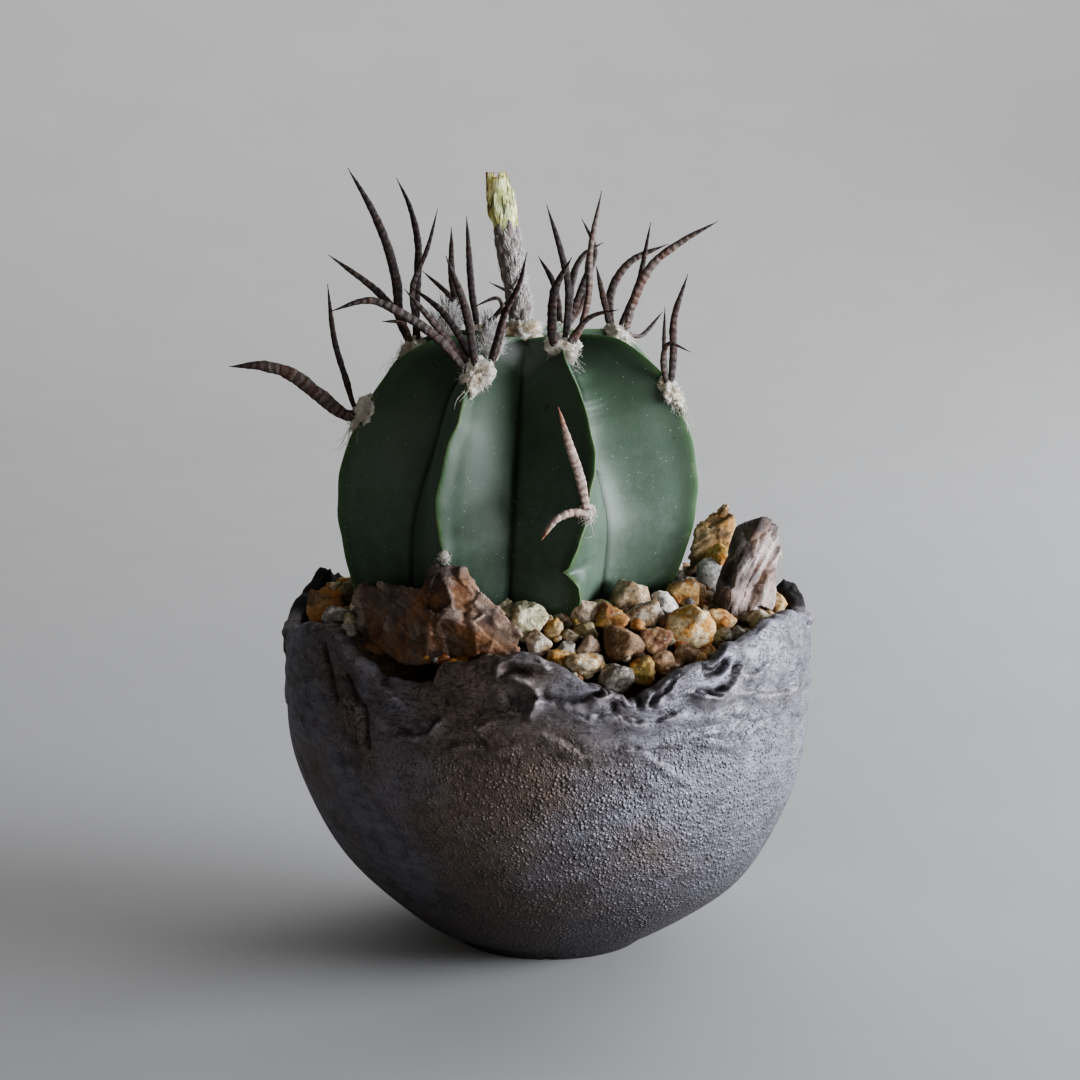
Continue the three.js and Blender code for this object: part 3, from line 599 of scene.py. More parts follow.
def bowl_place(turn, row):
    column = turn
    turn = turn - FRONT_CROWDING * math.sin(math.tau * (turn - FRONT_TURN))
    rim = rim_height(turn)
    wall = RIM_WALL + 0.7 * noise.noise(round_point(turn, 6, 4))
    edge = rim - 0.45 * wall
    shadows[column, row] = 0
    if row <= FOOT_ROWS:
        return round_point(turn, FOOT_RADIUS * (row / FOOT_ROWS) ** 0.8, 0)
    around = round_point(turn, 1, 0)
    up_row = row - FOOT_ROWS
    if up_row <= OUTSIDE_ROWS:
        rise = 1 - (1 - up_row / OUTSIDE_ROWS) ** 1.5
        foot = -math.acos(FOOT_RADIUS / BOWL_RADIUS)
        angle = lerp(foot, math.asin((edge - BOWL_MIDDLE) / BOWL_RADIUS), rise)
        height = BOWL_MIDDLE + BOWL_RADIUS * math.sin(angle)
        radius = BOWL_RADIUS * math.cos(angle) + hand_made(turn, height)
        point = round_point(turn, radius, height)
        outwards = (around * math.cos(angle) + Vector((0, 0, math.sin(angle)))).normalized()
        skin, shadows[column, row] = clay_skin(point)
        return point + outwards * (skin * smoothstep(up_row, 0, 8))
    rim_row = up_row - OUTSIDE_ROWS
    outer = math.sqrt(BOWL_RADIUS ** 2 - (edge - BOWL_MIDDLE) ** 2) + hand_made(turn, edge)
    if rim_row < RIM_ROWS:
        skin, dark = clay_skin(round_point(turn, outer, edge))
        share = rim_row / RIM_ROWS
        # Towards the inside the rim fades into painted shade.
        shadows[column, row] = lerp(dark, 1, smoothstep(share, 0.5, 0.9))
        over, up = math.cos(math.pi * share), math.sin(math.pi * share)
        over = math.copysign(abs(over) ** SQUARE_RIM, over)
        curl = 0.34 * noise.noise(around * 8) * wall
        radius = outer - wall / 2 + wall / 2 * over + skin * (1 - share)
        ragged = noise.noise(Vector((radius, 0, 0)) / 0.9 + round_point(turn, 26, share * 4))
        crumble = (0.35 + 0.9 * burnt_share(turn)) * ragged
        height = edge + (0.45 * wall + crumble) * up ** SQUARE_RIM
        return round_point(turn, radius + curl * up, height)
    # The inside of the bowl is painted in full shade.
    shadows[column, row] = 1
    rise = 1 - (rim_row - RIM_ROWS) / INSIDE_ROWS
    inner = BOWL_RADIUS - WALL
    angle = lerp(-math.pi / 2, math.asin(min(1, (edge - BOWL_MIDDLE) / inner)), rise)
    height = BOWL_MIDDLE + inner * math.sin(angle)
    made = inner * math.cos(angle) + hand_made(turn, height)
    return round_point(turn, lerp(made, outer - wall, smoothstep(rise, 0.6, 1)) if rise > 0 else 0, height)


# %% [markdown]
# The fired clay is nearly black, warm brown where it is burnished and bluish where the fire left a
# metal sheen. Towards the sides, most on the right, the blue is painted stronger: partly the clay's
# own sheen and partly a painted reflection of the window. The sheen is a little metal in the surface,
# so the window draws a broad lilac light on it. Grains are round cells in a bump, strong on the belly
# and faded out on the smeared band, where torn laps take their place, each with a thin painted shadow
# along its edge. Painted shade darkens the lower bowl, the inside, and the clay under lips and in pits.
# Raised fold crests are lightened, partly wear and partly painted highlight. Two stretches of the rim
# are charred and dull.

# %% The bowl's finish and piece
CHARRED = [(46, 12, 67), (48, 3, 68), (-42, 22, 68), (-46, 13, 70), (-48, 4, 69)]
clay = Finish("stoneware", IOR=1.5)
height = clay.part(clay.mm, "Z")
wander = clay.noise(0.09, 2)
grainy = 1 - (height + wander * 14).step(51, 60)
clusters = clay.noise(0.3, 2).step(0.36, 0.6)
coarse = clay.dots(1.15, 0.45, 0.95) * (0.35 + clusters * 0.65)
grit = grainy * (coarse + clay.dots(2.6, 0.4, 0.95) * 0.25)
skin_noise = clay.noise(0.7, 6, 0.62)
smear = clay.noise(1, 5, 0.6, clay.stretched((0.25, 0.25, 0.7)))
# The clay is painted bluer towards the sides, most on the right: partly its own sheen and partly a painted
# reflection of the window.
painted_side_reflection = clay.part(clay.mm, "X") * 0.02 + 0.24
fired_and_painted_reflection = (clay.noise(0.05, 3, 0.5) + smear * 0.12 + painted_side_reflection * painted_side_reflection * 0.35).step(0.44, 0.82)
brown = clay.mix(skin_noise.step(0.3, 0.7), (0.085, 0.063, 0.053), (0.160, 0.118, 0.097))
blue = clay.mix(smear.step(0.3, 0.7), (0.118, 0.112, 0.128), (0.200, 0.193, 0.222))
sooty = clay.noise(0.16, 4, 0.6).step(0.5, 0.68) * 0.45
# Painted shade: the lower bowl darkens towards the foot.
painted_underside_shade = 1 - (height + wander * 10).step(6, 44)
glints = clay.dots(0.8, 0.93, 0.97) * clay.noise(0.25, 1).step(0.5, 0.62)
laps = clay.noise(0.2, 5, 0.62, clay.stretched((1, 1, 2.0)), 0.7)
band = 1 - grainy
# Painted shadow: thin dark lines along the edges of the torn laps.
painted_lap_shadow = laps.ridge(0.465, 0.485, 0.505) + laps.ridge(0.575, 0.59, 0.605)
shadow = clay.mark("shadow")
charred = clay.near(CHARRED, 5, 8)
# Painted shade under lips, in pits, below torn edges and inside the bowl, with the rim's charring.
shade_and_char = (shadow.step(0.2, 0.9) * 0.7 + charred).clamp()
colour = clay.coats(
    clay.mix(fired_and_painted_reflection, brown, blue),
    (sooty, (0.032, 0.027, 0.027)),
    (painted_underside_shade * 0.85, (0.034, 0.029, 0.030)),
    (grit.step(0.5, 1.0) * 0.35, (0.23, 0.21, 0.205)),
    (glints * grainy * 0.6, (0.50, 0.50, 0.56)),
    (painted_lap_shadow.clamp() * band * 0.7, (0.022, 0.018, 0.018)),
    # Raised fold crests are lightened, partly wear and partly painted highlight.
    ((0 - shadow).step(0.1, 0.5) * 0.4, (0.26, 0.235, 0.24)),
    (shade_and_char, (0.016, 0.013, 0.013)),
)
rough = (0.47 + skin_noise * 0.22 + sooty * 0.18 + charred * 0.3).clamp()
flakes = clay.noise(0.55, 6, 0.6, distortion=0.5).step(0.5, 0.53)
torn = laps.step(0.485, 0.5) + laps.step(0.59, 0.605) * 0.8 + flakes * 0.3
relief = grit * 0.75 + skin_noise * 0.3 + smear * 0.2 + torn * band * 0.8
stoneware = clay.finish(
    Base_Color=colour, Roughness=rough, Metallic=(0.42 + fired_and_painted_reflection * 0.18) * (1 - charred),
    Normal=clay.bump(relief, 0.65, 0.95),
)

# %% [markdown]
# Water leaves through three holes in the foot, and a groove leads from each to the foot's edge. They
# are cut last, as a potter cuts them, by taking rods and blocks away from the finished bowl.

# %% The bowl's drain holes
DRAIN_RADIUS, DRAIN_DISTANCE, GROOVE_DEPTH, DRAINS = 1.8, 8.5, 0.8, (30, 150, 270)


def cutters(name, add):
    """An object made of one cutting tool for each drain."""
    bm = bmesh.new()
    for direction in DRAINS:
        add(bm, Matrix.Rotation(math.radians(direction), 4, "Z"))
    return link(name, as_mesh(bm, name))


def add_rod(bm, turn):
    bmesh.ops.create_cone(
        bm, cap_ends=True, segments=40, radius1=DRAIN_RADIUS, radius2=DRAIN_RADIUS, depth=12,
        matrix=turn @ Matrix.Translation((DRAIN_DISTANCE, 0, 3)),
    )


def add_block(bm, turn):
    size = Matrix.Diagonal((FOOT_RADIUS, DRAIN_RADIUS, 2 * GROOVE_DEPTH, 1))
    place = Matrix.Translation((DRAIN_DISTANCE + FOOT_RADIUS / 2, 0, 0))
    bmesh.ops.create_cube(bm, size=1, matrix=turn @ place @ size)


tools = [cutters("rods", add_rod), cutters("blocks", add_block)]
cuts = [("BOOLEAN", {"operation": "DIFFERENCE", "solver": "MANIFOLD", "object": tool}) for tool in tools]
whole = moved_ball(BOWL_COLUMNS, BOWL_ROWS, bowl_place, {"shadow": lambda turn, row: shadows[turn, row]})
drained = after_modifiers(whole, *cuts)
for tool in tools:
    bpy.data.objects.remove(tool)
piece(drained, "bowl", stoneware, "pot")

# %% [markdown]
# ## The plant
#
# The plant is one swollen stem with eight ribs. Every rib is a keel: two flanks meet in a sharp,
# hard, light green edge, and between the ribs the flanks meet in a crease. The measured model gives
# the keel's line, and the formula below swings round the plant from keel to crease to keel. More
# columns of points stand near the keels, where the form turns sharply. Small wobbles, a notch where
# the front rib once healed, and slack in the flanks keep it from looking turned on a lathe.

# %% The plant's measures
CREST_LINE = [
    (0, 115.5), (8, 116.6), (16, 116.6), (21, 114.9), (25.5, 111.7), (29.3, 106.9), (32, 101.7),
    (34.2, 96.1), (35, 90.1), (34.8, 84.1), (33.4, 77.5), (31.2, 70.3), (28, 65.1), (22, 59.1),
    (13, 53.1), (7, 47.1), (4.5, 41.1), (0, 37.1),
]
RIB_DIRECTIONS = [-24, 22, 71, 116, 160, 205, 246, 291]
FRONT_RIB = 1
RIB_DEPTH, BODY_AXIS, BODY_LEAN, LEAN_HEIGHT = (0.21, 0.38), -6.1, 0.06, 87
FLANK_SWELL, FLAT_SWELL, HOLLOW_SWELL, KEEL_ROUND = -0.4, -0.05, -1.2, 0.05
FLANK_COLUMNS, BODY_ROWS = 50, 190
KEEL_SWAY = {
    1: [
        (36, 0), (66.3, -0.8), (71.6, 0.7), (74.4, -0.6), (75.6, -2.4), (77, -5.6), (79.1, -4.3),
        (82.5, -2.5), (86.8, -1.1), (91.9, -0.3), (95.7, 1.3), (98.8, 1.8), (103.6, 0.8), (109, -1),
        (114, -3), (118, 0),
    ],
    0: [
        (36, 0), (70, 0), (80.9, 2.5), (83.8, 1.4), (87.5, 0.5), (91, 0.1), (95.7, 0.8), (99.9, 1.2),
        (104, 2.9), (107.7, 2.4), (113, 0), (118, 0),
    ],
}
BITES = [(0, -28.6, 80.3), (-1.6, -27, 77.7)]
BODY_COLUMNS = len(RIB_DIRECTIONS) * FLANK_COLUMNS
crest_path = Path([(x, 0, y) for x, y in CREST_LINE], power=0)


def rib_share(turn):
    """The rib that a turn starts from, the way to the next one, and 0 at a keel to 1 in a crease."""
    place = turn * len(RIB_DIRECTIONS)
    rib = int(place)
    way = place - rib
    share = 1 - abs(2 * way - 1)
    share = smoothstep(share, 0, 1)
    way = share / 2 if way < 0.5 else 1 - share / 2
    return rib, way, share


def plant_place(turn, row):
    rib, way, share = rib_share(turn)
    low = RIB_DIRECTIONS[rib]
    high = RIB_DIRECTIONS[(rib + 1) % len(RIB_DIRECTIONS)]
    direction = lerp(low, high if high > low else high + 360, way)
    nearest = (rib + round(way)) % len(RIB_DIRECTIONS)
    crest, ahead = crest_path.at(1 - row / BODY_ROWS)
    around = Vector((nearest * 7.3, crest.z / 11, 0))
    keel = (1 - share) ** 3
    if nearest in KEEL_SWAY:
        direction += keel * between(KEEL_SWAY[nearest], crest.z)
    else:
        direction += 1.6 * keel * noise.noise(around) * smoothstep(crest.z, 60, 75)
    bulge = 0.5 * keel * noise.noise(around * 1.9 + Vector((0, 0, 4)))
    if nearest == FRONT_RIB:
        bulge += keel * (0.8 * bell(crest.z - 72.5, 3) - 1.8 * (1 - share) ** 6 * bell(crest.z - 76.6, 0.9))
    flank = round_point(direction / 360, crest.x, crest.z)
    slack = 0.6 * share * (1 - share) * 4 * noise.noise(flank / 17)
    bulge += slack + 0.5 * bell(share, 0.07) - 0.15 * bell(share - 0.16, 0.06)
    swell = FLAT_SWELL if rib == 0 and way < 0.5 else FLANK_SWELL
    if rib == FRONT_RIB:
        direction -= share * (4.5 + 5 * smoothstep(crest.z, 80, 106))
        swell = HOLLOW_SWELL if way > 0.5 else FLANK_SWELL
    # The section from keel to crease is a straight line, bent by the swell and rounded at the keel.
    fold = math.hypot(share - swell * share * (1 - share), KEEL_ROUND) - KEEL_ROUND
    above = smoothstep(crest.z, 45, 59)
    depth = lerp(*RIB_DEPTH, smoothstep(crest.z, 64, 106)) * crest.x * fold * above - bulge * above
    if row in (0, BODY_ROWS):
        point = Vector((0, 0, crest.z - math.copysign(depth, ahead.x)))
    else:
        radius = max(0.05, crest.x + ahead.z * depth)
        point = round_point((direction - 90) / 360, radius, crest.z - ahead.x * depth)
    point.x += BODY_AXIS + BODY_LEAN * (point.z - LEAN_HEIGHT)
    return point


# %% [markdown]
# The skin is a deep green with a thin blue-grey wax, painted strong low on the body and faint on the
# top, as painted light from the window. A share stored with every point tells the finish how far it
# is from a keel, so the edge can be drawn as a fine pale line and the crease can be darkened with
# painted shade. Tiny wax flecks and a few scars break the surface.

# %% The plant's finish and piece
skin = Finish(
    "waxy_skin", IOR=1.45, Specular_IOR_Level=0.32, Sheen_Weight=0.08, Sheen_Roughness=0.45,
    Sheen_Tint=(0.8, 0.95, 0.9), Subsurface_Weight=0.06, Subsurface_Scale=0.003,
    Subsurface_Radius=(0.5, 1.0, 0.4),
)
share = skin.mark("share")
cloud = skin.noise(0.06, 3)
mottle = skin.noise(0.5, 5, 0.6)
green = skin.mix(cloud.step(0.3, 0.7), (0.037, 0.062, 0.038), (0.048, 0.078, 0.048))
# Painted light: the wax is painted full on the lower body and faint on the top, for the window light that
# falls low.
old = 1 - skin.part(skin.mm, "Z").step(84, 110)
wax_and_painted_light = (share / 0.12).step(0.5, 1.2) * (mottle * 0.5 + cloud * 0.6).step(0.35, 0.75)
wax_and_painted_light = wax_and_painted_light * (0.2 + old * 0.8)
keel_noise = skin.noise(0.25, 4)
keel = 1 - (share + (keel_noise - 0.5) * 0.02).step(0.025, 0.07)
keel_colour = skin.mix(keel_noise.step(0.50, 0.64), (0.042, 0.088, 0.034), (0.068, 0.120, 0.046))
edge = 1 - (share + (keel_noise - 0.5) * 0.012).step(0.004, 0.014)
edge_colour = skin.mix(keel_noise.step(0.52, 0.66), (0.13, 0.20, 0.09), (0.14, 0.11, 0.06))
# Painted shade darkens the creases between the ribs.
crease_shade = share.step(0.88, 1.0)
bark = (1 - skin.part(skin.mm, "Z").step(62, 70)) * mottle.step(0.35, 0.6)
fleck = skin.dots(0.9, 0.88, 0.93) * skin.noise(0.25, 1).step(0.45, 0.58)
scar = (skin.dots(0.085, 0.945, 0.965) + skin.near(BITES, 0.8, 1.15, mottle * 0.5)).clamp()
colour = skin.coats(
    green,
    (wax_and_painted_light * 0.5, (0.095, 0.132, 0.110)),
    (keel * 0.9, keel_colour),
    (edge * 0.6, edge_colour),
    (crease_shade * 0.85, (0.010, 0.018, 0.010)),
    (bark * 0.6, (0.09, 0.075, 0.045)),
    (fleck * 0.45, (0.45, 0.50, 0.47)),
    (scar * 0.8, (0.03, 0.022, 0.014)),
)
rough = 0.42 + mottle * 0.10 + keel * 0.04 + scar * 0.2
relief = skin.dots(2.4, 0.6, 1.0) * 0.25 + mottle * 0.5 + fleck * 0.3
waxy_skin = skin.finish(Base_Color=colour, Roughness=rough, Normal=skin.bump(relief, 0.12, 0.6))

marks = {"share": lambda turn, row: rib_share(turn)[2]}
stem = moved_ball(BODY_COLUMNS, BODY_ROWS, plant_place, marks)
piece(stem, "plant", waxy_skin, "cactus_body")

# %% [markdown]
# ## Gravel
#
# The soil is covered with mixed grit: cream and white quartz, ochre and rusty grains, grey chips.
# Each grain is a small ball pressed against a dozen planes, which gives the rounded corners and
# flattish sides of worn stone. The large grains in front lie at listed places. The others are
# tried at random places and kept where there is room, with the same draws as in the measured model.
# Colours are stored with the points, so one finish serves all grains.

# %% The grains' places
LAID_PEBBLES = [
    (14.5, -20, 69.9, 7, 7, "tan"), (21, -19, 68.9, 4.8, 4.4, "white"),
    (26, -12.5, 69.3, 6.7, 6.2, "amber"), (25.5, -28, 65.7, 8.4, 7.4, "honey"),
    (31, -20.5, 65.7, 8, 4.6, "orange"), (31, -26.5, 63.8, 4.4, 4, "olive"),
    (34.5, -22.5, 64.1, 2.8, 2.4, "white"), (39, -15.5, 65.1, 6.6, 3.6, "cream"),
    (43.2, -4.5, 65.9, 4.8, 4, "amber"), (11, -29.5, 68.1, 6.5, 5.4, "rust"),
    (17.5, -25.5, 68.1, 7.2, 4.8, "pale"), (6.5, -28.5, 68.7, 3.6, 5, "beige"),
    (6.5, -32.5, 66.4, 4.4, 3, "olive"), (12.5, -35, 64.5, 8, 6, "brown"),
    (19.2, -32, 64.6, 5.8, 5.2, "russet"), (21.5, -26, 66.1, 4.4, 3.6, "umber"),
    (7, -36, 64.4, 3.9, 3.5, "pink"), (1, -33, 66.8, 3.4, 3.9, "ochre"),
    (4, -34, 65.7, 3.1, 2.8, "tan"), (3, -37, 64.1, 3.5, 2.9, "grey"),
    (6.5, -39.5, 62, 7.4, 4.3, "bone"), (1.5, -38.5, 62.9, 3.9, 3.4, "ochre"),
    (12, -41.3, 59.7, 5.4, 5.2, "flint"), (16.7, -39.6, 60.7, 4.8, 5.4, "mustard"),
    (20.5, -37.2, 61.4, 4, 5, "brown"), (29, -31, 62.1, 3.6, 2.9, "rust"),
    (24.5, -33, 62.3, 5.5, 3.4, "brown"), (31.2, 1, 70, 6.6, 6.4, "granite"),
    (24.8, 0.5, 69, 3.8, 4.2, "grey"), (32.8, 3.6, 73.2, 5.6, 5.2, "mustard"),
    (-4.3, -32.2, 68.3, 6.6, 7, "lichen"), (-7.6, -29.8, 69.2, 3.8, 4.8, "lichen"),
    (-2, -36.7, 64.9, 4.2, 5, "pale"), (-40.6, -15, 65.5, 3.9, 3.4, "white"),
    (-38.4, -17.8, 66.1, 3.9, 3.6, "white"), (-36.6, -20.6, 65.9, 2.8, 3.5, "cream"),
    (-37, -22.3, 63.9, 4, 3.4, "white"), (-41.2, 5.5, 66.4, 3.2, 4, "cream"),
    (-37.8, -2, 67.7, 4.6, 4.4, "olive"),
]
PEBBLE_SEED, PEBBLE_TRIES, PEBBLE_SIZES, PEBBLE_SPACING, PEBBLE_FLATNESS = 2027, 1400, (4.6, 8), 0.43, 0.8
HEAP_TOP, HEAP_FOOT, GRAVEL_EDGE, GRAVEL_LEVEL, GRAVEL_DIP, DIP_DIRECTION = 67.4, 29, 44, 65, 6, 280
SOIL_TOP, PLANT_CLEARANCE = 52, 25.5


def gravel_height(x, y):
    angle = math.atan2(y, x) - math.radians(DIP_DIRECTION)
    edge = GRAVEL_LEVEL - GRAVEL_DIP * max(0, math.cos(angle)) ** 2
    return lerp(HEAP_TOP, edge, smoothstep(math.hypot(x, y), HEAP_FOOT, GRAVEL_EDGE))


def fill_pebbles():
    draw = draws_from(PEBBLE_SEED)
    kept = [pebble[:5] for pebble in LAID_PEBBLES]
    for _ in range(PEBBLE_TRIES):
        angle = math.tau * draw()
        radius = 43 * math.sqrt(draw())
        length = lerp(*PEBBLE_SIZES, draw() ** 1.6)
        x, y = radius * math.cos(angle), radius * math.sin(angle)
        beside_plant = math.hypot(x - BODY_AXIS, y) > PLANT_CLEARANCE + length / 2
        free = all(math.hypot(x - a, y - b) > PEBBLE_SPACING * (length + size) for a, b, _, size, _ in kept)
        if beside_plant and free and radius < GRAVEL_EDGE - length / 2:
            height = length * PEBBLE_FLATNESS
            kept.append((x, y, gravel_height(x, y) + height * (draw() - 0.45) * 0.5, length, height))
    return kept[len(LAID_PEBBLES):]


filled = fill_pebbles()
print("laid and filled grains:", len(LAID_PEBBLES), len(filled))

# %% [markdown]
# Every tone is a ground colour and a stain. The stain runs over the grain in patches.

# %% The grains' tones
TONES = {
    "white": ((0.62, 0.60, 0.55), (0.25, 0.24, 0.22)), "bone": ((0.68, 0.60, 0.44), (0.50, 0.30, 0.10)),
    "cream": ((0.56, 0.50, 0.36), (0.34, 0.32, 0.18)), "pale": ((0.55, 0.50, 0.42), (0.30, 0.20, 0.11)),
    "beige": ((0.46, 0.36, 0.26), (0.55, 0.48, 0.38)), "pink": ((0.45, 0.32, 0.24), (0.55, 0.42, 0.32)),
    "tan": ((0.38, 0.27, 0.15), (0.50, 0.42, 0.30)), "honey": ((0.56, 0.46, 0.28), (0.42, 0.22, 0.05)),
    "amber": ((0.52, 0.36, 0.15), (0.40, 0.17, 0.03)), "ochre": ((0.46, 0.26, 0.06), (0.56, 0.44, 0.24)),
    "orange": ((0.42, 0.19, 0.05), (0.52, 0.38, 0.20)), "rust": ((0.30, 0.10, 0.025), (0.46, 0.26, 0.07)),
    "russet": ((0.26, 0.12, 0.06), (0.42, 0.26, 0.14)), "brown": ((0.17, 0.095, 0.045), (0.33, 0.20, 0.10)),
    "umber": ((0.10, 0.05, 0.028), (0.30, 0.15, 0.07)), "olive": ((0.26, 0.22, 0.11), (0.12, 0.09, 0.045)),
    "mustard": ((0.40, 0.29, 0.08), (0.46, 0.19, 0.03)), "lichen": ((0.50, 0.48, 0.34), (0.28, 0.27, 0.16)),
    "grey": ((0.30, 0.28, 0.25), (0.50, 0.47, 0.42)), "flint": ((0.38, 0.35, 0.30), (0.16, 0.14, 0.12)),
    "granite": ((0.20, 0.20, 0.19), (0.45, 0.44, 0.42)),
}
COMMON_TONES = [
    "cream", "amber", "brown", "ochre", "pale", "tan", "honey", "grey", "rust", "beige", "olive", "russet",
    "bone", "orange", "umber", "mustard", "white", "flint",
]


# %% Grains of stone
PLANES = 11


def press(verts, centre, size, turn, draw):
    """Presses a ball of points against random planes, then stretches, turns and places it."""
    planes = []
    for i in range(PLANES):
        lift = 1 - 2 * (i + draw()) / PLANES
        angle = math.tau * draw()
        out = math.sqrt(max(0, 1 - lift * lift))
        normal = Vector((out * math.cos(angle), out * math.sin(angle), lift))
        planes.append((normal, 0.70 + 0.28 * draw()))
    offset = Vector((draw(), draw(), draw())) * 50
    sharpness = lerp(14, 50, draw())
    for vert in verts:
        way = vert.co.normalized()
        pressed = sum(max(0, way.dot(normal) / far) ** sharpness for normal, far in planes)
        radius = min(1.2, max(pressed, 0.01) ** (-1 / sharpness))
        radius *= 1 + 0.12 * noise.noise(way * 2.3 + offset)
        rough = 0.06 * noise.noise(way * 5 + offset) + 0.04 * noise.noise(way * 13 + offset)
        co = way * radius * (1 + rough)
        vert.co = turn @ Vector((co.x * size[0], co.y * size[1], co.z * size[2])) + centre


def grains(places, tone_of, subdivisions, seed):
    ball = bmesh.new()
    bmesh.ops.create_icosphere(ball, subdivisions=subdivisions, radius=1)
    template = as_mesh(ball, "grain")
    bm, groups, (tone_layer, stain_layer) = copies(template, len(places), "tone", "stain")
    draw = draws_from(seed)
    for i, ((x, y, z, length, height), verts) in enumerate(zip(places, groups)):
        turn = Matrix.Rotation(math.tau * draw(), 3, "Z") @ Matrix.Rotation(1.2 * (draw() - 0.5), 3, "X")
        size = Vector((length, (length + height) / 2, height)) * 0.53
        press(verts, Vector((x, y, z)), size, turn, draw)
        ground, stain = TONES[tone_of(i)]
        light = 0.8 + 0.4 * draw()
        for vert in verts:
            vert[tone_layer] = (*[channel * light for channel in ground], draw())
            vert[stain_layer] = (*[channel * light for channel in stain], 1)
    return bm


# %% The grains' finish and pieces
stone = Finish("grit", IOR=1.5)
ground = stone.mark("tone", "Color")
stain = stone.mark("stain", "Color")
patches = stone.noise(0.33, 4, 0.6).step(0.44, 0.58)
mottle = stone.noise(1.3, 5, 0.65)
stained = stone.mix(patches, ground, stain)
shade = stone.mix(mottle.step(0.28, 0.72), (0.42, 0.37, 0.33), (1.25, 1.25, 1.25))
mottled = stone.mix(1.0, stained, shade, "MULTIPLY")
crust = stone.noise(0.8, 3, 0.5, distortion=0.6).step(0.6, 0.72)
specks = stone.dots(1.9, 0.80, 0.9) * stone.noise(0.5, 1).step(0.48, 0.6)
colour = stone.coats(mottled, (crust * 0.5, (0.66, 0.61, 0.52)), (specks * 0.75, (0.06, 0.045, 0.03)))
relief = mottle * 0.8 + stone.noise(4, 3, 0.7) * 0.3 - specks * 0.4 + crust * 0.25
rough = 0.55 + mottle * 0.3
grit_finish = stone.finish(Base_Color=colour, Roughness=rough, Normal=stone.bump(relief, 0.42, 0.9))

laid = grains([p[:5] for p in LAID_PEBBLES], lambda i: LAID_PEBBLES[i][5], 4, PEBBLE_SEED + 5)
piece(laid, "gravel_laid", grit_finish, "gravel")
fill = grains(filled, lambda i: COMMON_TONES[i * 7 % len(COMMON_TONES)], 3, PEBBLE_SEED + 6)
piece(fill, "gravel_fill", grit_finish, "gravel")

# %% [markdown]
# Between the large grains lie small ones, though not where the front rock stands, and under all of
# them a bed of crumbs and dust. The bed is a ball of points flattened to the heap's height, roughened
# by noise.

# %% Small grains and the bed
SMALL_GRAINS, BED_ROWS = 620, 28


def small_places():
    draw = draws_from(PEBBLE_SEED + 9)
    places = []
    while len(places) < SMALL_GRAINS:
        angle, radius = math.tau * draw(), 44 * math.sqrt(draw())
        x, y = radius * math.cos(angle), radius * math.sin(angle)
        size = 1.3 + 1.7 * draw() ** 2
        in_rock = -38 < x < -2 and abs((x + 20) * 0.42 + (y + 31.5) * 0.9) < 5.5
        if math.hypot(x - BODY_AXIS, y) > 24 and not in_rock:
            places.append((x, y, gravel_height(x, y) + 0.5 + 0.9 * draw(), size, size * 0.8))
    return places


def bed_place(turn, row):
    radius = GRAVEL_EDGE + 2.2
    rim = min(rim_height(turn + step / 200) for step in (-1, 0, 1))
    if row <= 1:
        return round_point(turn, radius * row, SOIL_TOP + 0.3)
    point = round_point(turn, radius * (1 - (row - 2) / (BED_ROWS - 2)), 0)
    heaped = gravel_height(point.x, point.y) - 0.2
    crumbs = 0.5 * noise.noise(point / 1.1) + 0.5 * noise.noise(point / 3)
    point.z = min(heaped, rim - 1.6) + crumbs * (row > 2)
    return point


small = small_places()
small_bm = grains(small, lambda i: COMMON_TONES[i * 5 % len(COMMON_TONES)], 2, PEBBLE_SEED + 10)
piece(small_bm, "gravel_small", grit_finish, "gravel")

dust = Finish("gravel_bed", Roughness=0.9)
crumb = dust.noise(1.2, 5, 0.7)
bed_colour = dust.mix(crumb.step(0.35, 0.7), (0.035, 0.024, 0.016), (0.20, 0.135, 0.08))
bed_finish = dust.finish(Base_Color=bed_colour, Normal=dust.bump(crumb, 0.5))
piece(moved_ball(150, BED_ROWS, bed_place), "gravel_bed", bed_finish, "gravel")

# %% [markdown]
# The soil under the grit keeps the shape of the measured model. It gets a crumbly dark finish.

# %% Soil finish
peat = Finish("potting_soil", Roughness=0.95)
peat_crumbs = peat.noise(0.8, 6, 0.7)
peat_colour = peat.mix(peat_crumbs.step(0.3, 0.7), (0.014, 0.009, 0.006), (0.065, 0.042, 0.026))
flecked = peat.mix(peat.dots(0.5, 0.8, 0.9) * 0.5, peat_colour, (0.32, 0.27, 0.2))
peat_finish = peat.finish(Base_Color=flecked, Normal=peat.bump(peat_crumbs, 0.9))
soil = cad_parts["soil"]
soil.data.materials.clear()
soil.data.materials.append(peat_finish)

# %% [markdown]
# ## Rocks
#
# Four rough rocks of layered slate stand in the grit. Each is made of lumps, and each lump is the
# hull of its corners, as in the measured model. A fine voxel remesh joins the lumps into one skin.
# Its points are then moved: steps where the layers have split, ledges, broad chips and a coarse
# grain. Points rise along their normals but sink towards the rock's heart, because a sharp corner
# that sinks along its normals turns inside out.

